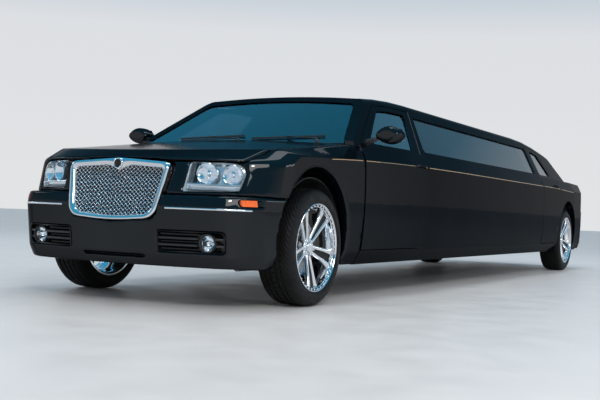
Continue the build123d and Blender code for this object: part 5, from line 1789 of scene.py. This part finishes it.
@dataclass
class Cushion:
    """A stuffed leather pad: crowned, pulled in between its corners and sewn in channels.

    Args:
        name: the piece's name.
        low: lowest corner, as a station in millimetres, a width and a height in metres.
        high: highest corner, likewise.
        crown: how far the face swells.
        pinch: how far the sides pull in between the corners.
        channels: how many sewn channels lie side by side.
        groove: depth of each seam between channels.
        fill: how tightly it is stuffed; not used.
        upright: whether its face looks forwards, as a seat's back does, instead of up.
        lean: how far an upright one leans back, in degrees.
        inward: whether its face looks sideways, towards the middle.
        steps: divisions along and across.
    """

    name: str
    low: Point
    high: Point
    crown: float = 0.018
    pinch: float = 0.010
    channels: int = 5
    groove: float = 0.007
    fill: float = 0.8
    upright: bool = False
    lean: float = 0.0
    inward: bool = False
    steps: tuple[int, int] = (22, 40)

    def frame(self) -> tuple[Vector, Vector, Matrix]:
        """Returns the middle, the half sizes with the thickness last, and the turn."""
        low, high = (Vector((st(x), y, z)) for x, y, z in (self.low, self.high))
        middle, half = (low + high) / 2, (high - low) / 2
        if self.upright:
            turn = Matrix.Rotation(math.radians(90.0 - self.lean), 4, "Y")
            return middle, Vector((half.z, half.y, half.x)), turn
        if self.inward:
            turn = Matrix.Rotation(math.radians(-90.0), 4, "X") @ Matrix.Rotation(math.radians(90.0), 4, "Z")
            return middle, Vector((half.z, half.x, half.y)), turn
        return middle, half, Matrix.Identity(4)

    def seams(self, v: float, half_y: float) -> float:
        """Finds how deep the channel seams are.

        Args:
            v: place across, from -1 to 1.
            half_y: the pad's half width.

        Returns:
            The depth there, as a share.
        """
        seam_width = 0.009
        return max((math.exp(-((v - (2.0 * k / self.channels - 1.0)) * half_y / seam_width) ** 2)
                    for k in range(1, self.channels)), default=0.0)

    def point(self, u: float, v: float, top: bool, half: Vector) -> Vector:
        """Returns a point of the pad's skin.

        Args:
            u: place along the length, from -1 to 1.
            v: place across, from -1 to 1.
            top: whether it lies on the face or on the back.
            half: the half sizes.

        Returns:
            The point about the pad's middle.
        """
        x = half.x * u - math.copysign(self.pinch, u) * (1.0 - v * v) * abs(u) ** 3
        y = half.y * v - math.copysign(self.pinch, v) * (1.0 - u * u) * abs(v) ** 3
        full = (max(0.0, 1.0 - abs(u) ** 9) * max(0.0, 1.0 - abs(v) ** 9)) ** 0.4
        if not top:
            return Vector((x, y, -half.z * full))
        swell = self.crown * (1.0 - u * u) * (1.0 - v * v)
        seam = self.groove * self.seams(v, half.y) * full * (1.0 - abs(u) ** 6)
        crease = 0.0012 * math.sin(7.0 * u + 5.0 * v + 3.0 * math.sin(9.0 * u * v)) * full
        return Vector((x, y, (half.z - self.crown) * full + swell - seam + crease))

    def build(self, body: str, *nodes: str) -> None:
        """Makes the pad and its piping.

        Args:
            body: the body that carries it.
            nodes: the CAD nodes that it stands for.
        """
        middle, half, turn = self.frame()
        across, along = self.steps
        edge = [math.copysign(1.0 - (1.0 - abs(t)) ** 1.6, t) for t in spaced(-1.0, 1.0, along + 1)]
        ends = [math.copysign(1.0 - (1.0 - abs(t)) ** 1.8, t) for t in spaced(-1.0, 1.0, across + 1)]
        shape = Shape().grid([[self.point(u, v, True, half) for v in edge] +
                              [self.point(u, v, False, half) for v in reversed(edge)] for u in ends],
                             round_rows=True)
        move = Matrix.Translation(middle) @ turn
        made = shape.move(move).object(self.name, LEATHER, 60.0)
        place(made, body, "leather_trim", *nodes)
        border = [(u, -1.0) for u in ends] + [(1.0, v) for v in edge[1:]]
        border += [(u, 1.0) for u in ends[-2::-1]] + [(-1.0, v) for v in edge[-2:0:-1]]
        piping = Shape().tube([self.point(u, v, False, half) for u, v in border], 0.0035, 6, closed=True)
        place(piping.move(move).object(self.name + "_piping", STITCH, 60.0), body, "leather_trim")


@dataclass
class Seats:
    """All the seats, pad by pad, on their plinths."""

    seat_y: float = 0.385
    bench: int = 3
    bench_step: float = 0.4147
    lounge: int = 6
    # In millimetres, as stations are.
    lounge_step: float = 432.6

    def build(self) -> None:
        """Makes the front seats, the rear bench and the long side bench."""
        for side_name, side in SIDES:
            y = side * self.seat_y
            Cushion(f"front_cushion_{side_name}", (-1885.0, y - 0.250, 0.400),
                    (-1365.0, y + 0.250, 0.520)).build("body")
            Cushion(f"front_back_{side_name}", (-1985.0, y - 0.244, 0.490), (-1868.0, y + 0.244, 1.068),
                    upright=True, lean=10.0, crown=0.022).build("body")
            Cushion(f"head_rest_{side_name}", (-2030.0, y - 0.128, 1.075), (-1958.0, y + 0.128, 1.228),
                    channels=1, upright=True, lean=6.0, crown=0.012).build("body")
        self.plinths()
        for k in range(self.bench):
            y = -0.622 + k * self.bench_step
            Cushion(f"bench_cushion_{k + 1}", (-6240.0, y, 0.5165), (-5784.0, y + 0.412, 0.620),
                    channels=4).build("body")
            Cushion(f"bench_back_{k + 1}", (-6342.0, y, 0.640), (-6244.0, y + 0.412, 1.056), channels=4,
                    upright=True, lean=6.0).build("body")
        for k in range(self.lounge):
            x = -5246.0 + k * self.lounge_step
            Cushion(f"lounge_cushion_{k + 1}", (x, -0.690, 0.402), (x + 430.0, -0.332, 0.500), channels=1,
                    crown=0.02).build("body")
            Cushion(f"lounge_back_{k + 1}", (x, -0.783, 0.510), (x + 430.0, -0.694, 0.928), channels=4,
                    inward=True).build("body")

    def plinths(self) -> None:
        """Makes what the pads stand on."""
        shape = Shape()
        for side in (LEFT, RIGHT):
            y = side * self.seat_y
            shape.block((st(-1850.0), y - 0.215, 0.2795), (st(-1400.0), y + 0.215, 0.402))
            for post in (y - 0.05, y + 0.05):
                shape.tube([(st(-1988.0), post, 1.03), (st(-1992.0), post, 1.10)], 0.006, 8)
        place(shape.object("front_seat_frames", MOULDED, 40.0, bevel=0.008), "body", "leather_trim",
              "front_seats")
        shape = Shape().block((st(-5250.0), -0.785, 0.2795), (st(-2650.0), -0.345, 0.402))
        shape.block((st(-5250.0), -0.7895, 0.402), (st(-2650.0), -0.772, 0.930))
        shape.block((st(-6358.0), -0.625, 0.5155), (st(-6335.0), 0.625, 1.03))
        place(shape.object("lounge_plinths", MOULDED, 40.0, bevel=0.006), "body", "leather_trim",
              "lounge_seats")


@dataclass
class Lining:
    """A thin trim panel laid over the inside of a CAD surface.

    Args:
        name: the piece's name.
        body: the body that carries it.
        nodes: the CAD nodes that it covers.
        finish: its finish.
        slot: the material slot.
        corners: four corners as stations in millimetres and two coordinates in metres, where rays start.
        along: the rays' direction.
        steps: divisions along and across.
        thick: its thickness.
        rest: an armrest as height and depth, or None.
        reach: the longest way that a ray may go.
    """

    name: str
    body: str
    nodes: tuple[str, ...]
    finish: Finish
    slot: str
    corners: tuple[Point, Point, Point, Point]
    along: Point
    steps: tuple[int, int] = (24, 14)
    thick: float = 0.004
    rest: Optional[Flat] = None
    reach: float = 0.6

    def build(self) -> None:
        """Makes the panel."""
        skin = Skin(*self.nodes)
        a, b, c, d = (Vector((st(x), y, z)) for x, y, z in self.corners)
        along = Vector(self.along)
        nu, nv = self.steps
        front, back = [], []
        for i in range(nu + 1):
            u = i / nu
            front_row, back_row = [], []
            for j in range(nv + 1):
                v = j / nv
                start = a.lerp(b, u).lerp(d.lerp(c, u), v)
                found = skin.hit(start, along)
                seat = found[0] if found is not None and (found[0] - start).length < self.reach else None
                edge = min(1.0, 8.0 * min(u, 1.0 - u, v, 1.0 - v) + 0.25)
                lift = self.thick * edge
                if self.rest is not None:
                    z, depth = self.rest
                    lift += depth * math.exp(-((start.z - z) / 0.045) ** 4) * math.sin(math.pi * u) ** 0.3
                front_row.append(None if seat is None else seat - along * lift)
                back_row.append(None if seat is None else seat - along * 0.0006)
            front.append(front_row)
            back.append(back_row)
        self.fill(front)
        self.fill(back)
        shape = Shape().grid(front)
        shape.grid([list(reversed(row)) for row in back])
        rims = [rows[0] + [row[-1] for row in rows[1:]] + rows[-1][-2::-1] + [row[0] for row in rows[-2:0:-1]]
                for rows in (front, back)]
        shape.grid(rims, round_rows=True)
        place(shape.object(self.name, self.finish, 50.0), self.body, self.slot)

    @staticmethod
    def fill(rows: list[list[Optional[Vector]]]) -> None:
        """Fills points that found no surface from their neighbours.

        Args:
            rows: the points, changed in place.
        """
        known = [p for row in rows for p in row if p is not None]
        for i, row in enumerate(rows):
            for j, p in enumerate(row):
                if p is None:
                    near = [rows[m][n] for m in (i - 1, i, i + 1) for n in (j - 1, j, j + 1)
                            if 0 <= m < len(rows) and 0 <= n < len(row) and rows[m][n] is not None]
                    row[j] = near[0].copy() if near else known[0].copy()


@dataclass
class Trim:
    """Door cards, wall linings, headlining and carpets, each laid on by rays from a middle plane."""

    card_y: float = 0.45
    wall_y: float = 0.135
    roof_z: float = 1.18
    floor_z: float = 0.9

    def build(self) -> None:
        """Makes every lining."""
        for side_name, side in SIDES:
            self.walls(side_name, side)
        Lining("headlining", "body", ("roof_panel", "body_sides"), HEADLINING, "leather_trim",
               self.level((-1420.0, -6150.0), (-0.560, 0.560), self.roof_z), UP, steps=(80, 20),
               thick=0.005).build()
        # Name, front and rear station in millimetres, widths from and to, steps, thickness and reach.
        for name, stations, widths, steps, thick, reach in (
                ("carpet_left", (-560.0, -5850.0), (0.130, 0.786), (70, 10), 0.0012, 0.8),
                ("carpet_right", (-560.0, -5850.0), (-0.786, -0.130), (70, 10), 0.0012, 0.8),
                ("tunnel_carpet", (-1500.0, -5780.0), (-0.124, 0.124), (60, 6), 0.003, 0.6),
                ("boot_carpet", (-6400.0, -7440.0), (-0.700, 0.700), (30, 24), 0.004, 0.6)):
            Lining(name, "body", ("underbody",), CARPET, "black_plastic",
                   self.level(stations, widths, self.floor_z), DOWN, steps=steps, thick=thick,
                   reach=reach).build()

    def walls(self, side_name: str, side: float) -> None:
        """Makes the door cards and the wall lining of one side.

        Args:
            side_name: the side's name.
            side: LEFT or RIGHT.
        """
        outwards = (0.0, side, 0.0)
        # Door, four corners as a station in millimetres and a height, and the armrest's depth.
        for door, corners, depth in (
                ("front", ((-715.0, 0.365), (-1770.0, 0.365), (-1785.0, 1.030), (-760.0, 1.020)), 0.045),
                ("rear", ((-5480.0, 0.365), (-5690.0, 0.365), (-6060.0, 1.030), (-5500.0, 1.030)), 0.035)):
            Lining(f"{door}_door_card_{side_name}", f"door_{door}_{side_name}", (f"{door}_door_{side_name}",),
                   LEATHER, "leather_trim", tuple((x, self.card_y * side, z) for x, z in corners), outwards,
                   thick=0.010, rest=(0.730, depth)).build()
        y = self.wall_y * side
        Lining(f"wall_lining_{side_name}", "body", ("body_sides",), LEATHER, "leather_trim",
               ((-1880.0, y, 0.320), (-5370.0, y, 0.320), (-5370.0, y, 1.030), (-1880.0, y, 1.030)), outwards,
               steps=(60, 12), thick=0.006, reach=1.0).build()

    @staticmethod
    def level(stations: Flat, widths: Flat, z: float) -> tuple[Point, ...]:
        """Returns the corners of a level rectangle between two stations and two widths."""
        (ahead, behind), (right, left) = stations, widths
        return (ahead, right, z), (behind, right, z), (behind, left, z), (ahead, left, z)


@dataclass
class EngineDress:
    """What fills the bay: a ribbed cover, intake pipes, a battery and two tanks."""

    ribs: int = 8
    stations: Flat = (-330.0, 250.0)

    def build(self) -> None:
        """Makes the bay's pieces."""
        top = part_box("engine")[1][2]
        x0, x1 = (st(station) for station in self.stations)
        shape = Shape().block((x0, -0.230, top - 0.030), (x1, 0.230, top + 0.014))
        for y in spaced(-0.19, 0.19, self.ribs):
            shape.block((x0 + 0.05, y - 0.008, top + 0.010), (x1 - 0.05, y + 0.008, top + 0.020))
        place(shape.object("engine_cover", MOULDED, 40.0, bevel=0.005), "body", "black_plastic")
        intake = [(x1 - 0.03, 0.05, top - 0.05), (x1 + 0.07, 0.10, top - 0.05), (x1 + 0.13, 0.24, top - 0.07),
                  (x1 + 0.12, 0.38, top - 0.10)]
        hose = [(x1 + 0.02, -0.10, top - 0.12), (x1 + 0.16, -0.16, top - 0.14),
                (x1 + 0.27, -0.20, top - 0.10)]
        pipes = Shape().tube(intake, 0.038, 20).tube(hose, 0.021, 14)
        place(pipes.object("intake_pipes", SATIN_TRIM, 50.0), "body", "black_plastic")
        boxes = Shape().block((st(40.0), 0.315, top - 0.22), (st(300.0), 0.490, top - 0.05))
        boxes.block((st(60.0), -0.490, top - 0.22), (st(330.0), -0.315, top - 0.06))
        place(boxes.object("battery_and_air_box", MOULDED, 40.0, bevel=0.008), "body", "black_plastic")
        caps = Shape()
        for x, y, z in ((st(-375.0), 0.46, top - 0.12), (st(-370.0), -0.45, top - 0.12)):
            caps.lathe([(0.055, -0.12), (0.060, -0.05), (0.058, 0.0), (0.030, 0.012), (0.030, 0.018),
                        (0.028, 0.030), (0.0003, 0.032)], (x, y, z), "z", 28)
        place(caps.object("fluid_tanks", MOULDED, 50.0), "body", "black_plastic")


@dataclass
class TailTrim:
    """Bright strips across the tail lamps and along the rear bumper."""

    lamp_y: Flat = (0.694, 0.868)
    lamp_z: tuple[float, ...] = (0.754, 0.8675, 0.981)
    # Sections as height and distance outwards.
    lamp_section: tuple[Flat, ...] = (
        (-0.004, -0.002), (-0.004, 0.001), (0.0, 0.003), (0.004, 0.001), (0.004, -0.002))
    bumper_y: Flat = (0.34, 0.82)
    bumper_z: float = 0.650
    bumper_section: tuple[Flat, ...] = (
        (-0.0055, -0.004), (-0.0055, 0.001), (0.0, 0.0025), (0.0055, 0.001), (0.0055, -0.004))

    def build(self) -> None:
        """Makes the strips."""
        lamps, bumper = Skin("tail_lamps"), Skin("rear_bumper")
        shape = Shape()
        for z in self.lamp_z:
            points = [lamps.rear(y, z) for y in spaced(*self.lamp_y, 18)]
            shape.join(strip([point for point in points if point], self.lamp_section))
        shape = shape.paired()
        for side in (LEFT, RIGHT):
            points = [bumper.rear(y * side, self.bumper_z) for y in spaced(*self.bumper_y, 24)]
            shape.join(strip([point for point in points if point], self.bumper_section))
        place(shape.object("tail_strips", CHROME, 50.0), "body", "bright_chrome")


def finish_nodes() -> None:
    """Gives every CAD node the finish of its material slot."""
    slots = {part["node"]: part["material_slot"] for part in frame["record"]["subparts"]}
    for name, node in frame["nodes"].items():
        made = SLOT_FINISH[slots[name]].material()
        if node.material_slots:
            for slot in node.material_slots:
                slot.material = made
        else:
            node.data.materials.append(made)
        LOG.info("%s finished as %s", name, made.name)


def main() -> None:
    """Builds and dresses the part."""
    logging.basicConfig(level=logging.INFO, format="%(name)s: %(message)s")
    finish_nodes()
    panels = (SoftPanel("hood", "bonnet", "bonnet_skin", 0.0095, 12),
              SoftPanel("front_fenders", "body", "fender_skins", backing=CornerBacking()),
              SoftPanel("front_bumper", "body", "front_bumper_skin", 0.0075, 18),
              SoftPanel("boot_lid", "boot", "boot_skin", 0.014, 5),
              SoftPanel("rear_bumper", "body", "rear_bumper_skin", 0.012, 7))
    assemblies = (Studio(), *panels, SideMarkers(), WheelHouses(), RoadWheel(), Grille(), Headlamps(),
                  FogLamps(), NoseTrim(), CoachLineAndHighlight(), Mirrors(), Handles(), Wipers(), Seats(), Trim(),
                  EngineDress(), TailTrim())
    for assembly in assemblies:
        LOG.info("building %s", type(assembly).__name__)
        assembly.build()


if __name__ == "__main__":
    main()
